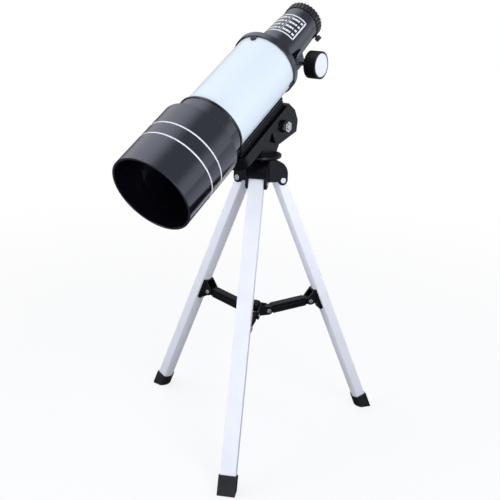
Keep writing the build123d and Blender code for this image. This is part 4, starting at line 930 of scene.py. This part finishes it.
@dataclass
class Studio:
    """Floor, light and camera.

    The camera sees the floor and the room white.  To all other rays the floor is dark near the object
    and bright beyond, and the room fades upwards, is dim along the depth line and has one bright window.
    """

    eye: Place = (-0.6974, -0.4683, 0.4792)
    aim: Place = (-0.0043, 0.0063, 0.2046)
    roll: float = 2.0
    lens: float = 59.9
    sensor: float = 36.0
    floor_size: float = 60.0
    floor_colour: Colour = (0.95, 0.95, 0.95)
    floor_roughness: float = 0.9
    floor_specular: float = 0.1
    bounce_near: Colour = (0.20, 0.20, 0.22)
    bounce_far: Colour = (0.93, 0.94, 0.97)
    bounce_reach: Span = (0.54, 0.68)
    mirror_near: Colour = (0.015, 0.015, 0.018)
    mirror_side: Span = (-0.10, 0.35)
    glow: Span = (0.80, 1.0)
    glow_reach: Span = (0.25, 1.10)
    room_colour: Colour = (0.90, 0.93, 1.0)
    room_light: Span = (1.05, 0.45)
    room_rise: Span = (0.20, 0.55)
    window: Place = (0.05, 0.66, 0.75)
    window_spread: Span = (0.55, 0.97)
    window_light: Span = (0.0, 1.15)
    depth: Place = (0.82, 0.57, 0.0)
    depth_spread: Span = (0.30, 0.85)
    depth_share: Span = (1.0, 0.16)
    lamps: tuple[Lamp, ...] = (
        Lamp("key", (-0.60, -1.25, 1.20), (0.0, 0.0, 0.22), 0.8, 8.0),
        Lamp("low", (-0.95, -1.35, 0.22), (0.0, 0.0, 0.12), 0.7, 12.0),
        Lamp("left", (-1.40, 0.55, 0.30), (0.0, 0.0, 0.15), 0.6, 6.5),
    )

    def build(self) -> None:
        """Builds the studio."""
        self._floor()
        self._world()
        for lamp in self.lamps:
            self._hang(lamp)
        self._camera()

    def _floor(self) -> None:
        """Lays a floor that is seen white away from the object and keeps the object's shadow near it."""
        select_only()
        bpy.ops.mesh.primitive_plane_add(size=self.floor_size, location=(0, 0, 0))
        floor = bpy.context.object
        floor.name = "studio_floor"
        material = bpy.data.materials.new("studio_floor")
        material.use_nodes = True
        graph = Graph(material.node_tree)
        straight = graph.straight_rays()
        place = graph.add("TexCoord")["Object"]
        away = graph.vector("LENGTH", place, result="Value")
        colour = graph.mix(straight, self._bounce(graph, place, away), self.floor_colour)
        shader = graph.nodes["Principled BSDF"]
        graph.feed(shader.inputs["Base Color"], colour)
        graph.feed(shader.inputs["Roughness"], self.floor_roughness)
        graph.feed(shader.inputs["Specular IOR Level"], self.floor_specular)
        glow = graph.math("MULTIPLY", graph.ramp(away, self.glow_reach, self.glow, "SMOOTHSTEP"), straight)
        seen = graph.add("MixShader", {0: glow, 1: shader.outputs["BSDF"], 2: graph.add("Emission")["Emission"]})
        graph.feed(graph.nodes["Material Output"].inputs["Surface"], seen["Shader"])
        floor.data.materials.append(material)

    def _bounce(self, graph: Graph, place: Any, away: Any) -> bpy.types.NodeSocket:
        """Colours the floor for the rays that light the object or are mirrored in it.

        Args:
            graph: the floor's nodes.
            place: the coordinates' socket.
            away: the socket of the distance from the middle.

        Returns:
            The colour's socket.
        """
        mirrored = graph.add("LightPath")["Is Glossy Ray"]
        near = graph.mix(mirrored, self.bounce_near, self.mirror_near)
        bounce = graph.mix(graph.ramp(away, self.bounce_reach, curve="SMOOTHSTEP"), near, self.bounce_far)
        aside = graph.ramp(graph.add("SeparateXYZ", {"Vector": place})["Y"], self.mirror_side)
        return graph.mix(graph.math("MULTIPLY", aside, mirrored), bounce, self.bounce_near)

    def _world(self) -> None:
        """Lights the room and shows it white behind the object."""
        world = bpy.data.worlds.new("studio_room")
        bpy.context.scene.world = world
        world.use_nodes = True
        graph = Graph(world.node_tree)
        straight = graph.straight_rays()
        place = graph.add("TexCoord")["Generated"]
        rise = graph.add("SeparateXYZ", {"Vector": place})["Z"]
        room = graph.ramp(rise, self.room_rise, self.room_light, "SMOOTHSTEP")
        facing, along = (
            graph.vector("DOT_PRODUCT", place, Vector(line).normalized(), result="Value")
            for line in (self.window, self.depth)
        )
        window = graph.ramp(facing, self.window_spread, self.window_light, "SMOOTHSTEP")
        share = graph.ramp(graph.math("ABSOLUTE", along), self.depth_spread, self.depth_share, "SMOOTHSTEP")
        light = graph.math("MULTIPLY_ADD", room, share, window)
        back = graph.nodes["Background"].inputs
        graph.feed(back["Strength"], graph.add("Mix", {"Factor": straight, "A": light, "B": 1.0})["Result"])
        graph.feed(back["Color"], graph.mix(straight, self.room_colour, WHITE))

    def _hang(self, lamp: Lamp) -> None:
        """Hangs a lamp.

        Args:
            lamp: the lamp.
        """
        light = bpy.data.lights.new(lamp.name, "AREA")
        light.size = lamp.size
        light.energy = lamp.power
        light.color = self.room_colour
        hung = bpy.data.objects.new(lamp.name, light)
        bpy.context.scene.collection.objects.link(hung)
        hung.location = lamp.place
        hung.rotation_euler = self._turn(lamp.place, lamp.aim).to_euler()

    @staticmethod
    def _turn(place: Place, aim: Place) -> Quaternion:
        """Turns a lamp or camera towards a point.

        Args:
            place: where it is.
            aim: the point.

        Returns:
            Its rotation.
        """
        return (Vector(aim) - Vector(place)).to_track_quat("-Z", "Y")

    def _camera(self) -> None:
        """Sets up the camera."""
        data = bpy.data.cameras.new("camera")
        data.lens = self.lens
        data.sensor_width = self.sensor
        camera = bpy.data.objects.new("camera", data)
        bpy.context.scene.collection.objects.link(camera)
        look = self._turn(self.eye, self.aim).to_matrix().to_4x4()
        rolled = Euler((0, 0, radians(self.roll))).to_matrix().to_4x4()
        camera.matrix_world = Matrix.Translation(self.eye) @ look @ rolled
        bpy.context.scene.camera = camera
        bpy.context.scene.view_settings.view_transform = "Standard"


def main() -> None:
    """Builds the studio and dresses the telescope, assembly by assembly."""
    logging.basicConfig(level=logging.INFO, format="%(message)s")
    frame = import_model()
    Studio().build()
    shop = Workshop(frame, EffectGroups())
    mouth, outwards = shop.mount("hood_mouth")
    line = TubeLine(mouth, -outwards)
    OpticalTube(shop, line).build()
    eyepiece, backwards = shop.mount("eyepiece_socket")
    Focuser(shop, TubeLine(eyepiece, -backwards)).build()
    TiltHead(shop).build()
    Stand(shop).build()


if __name__ == "__main__":
    main()
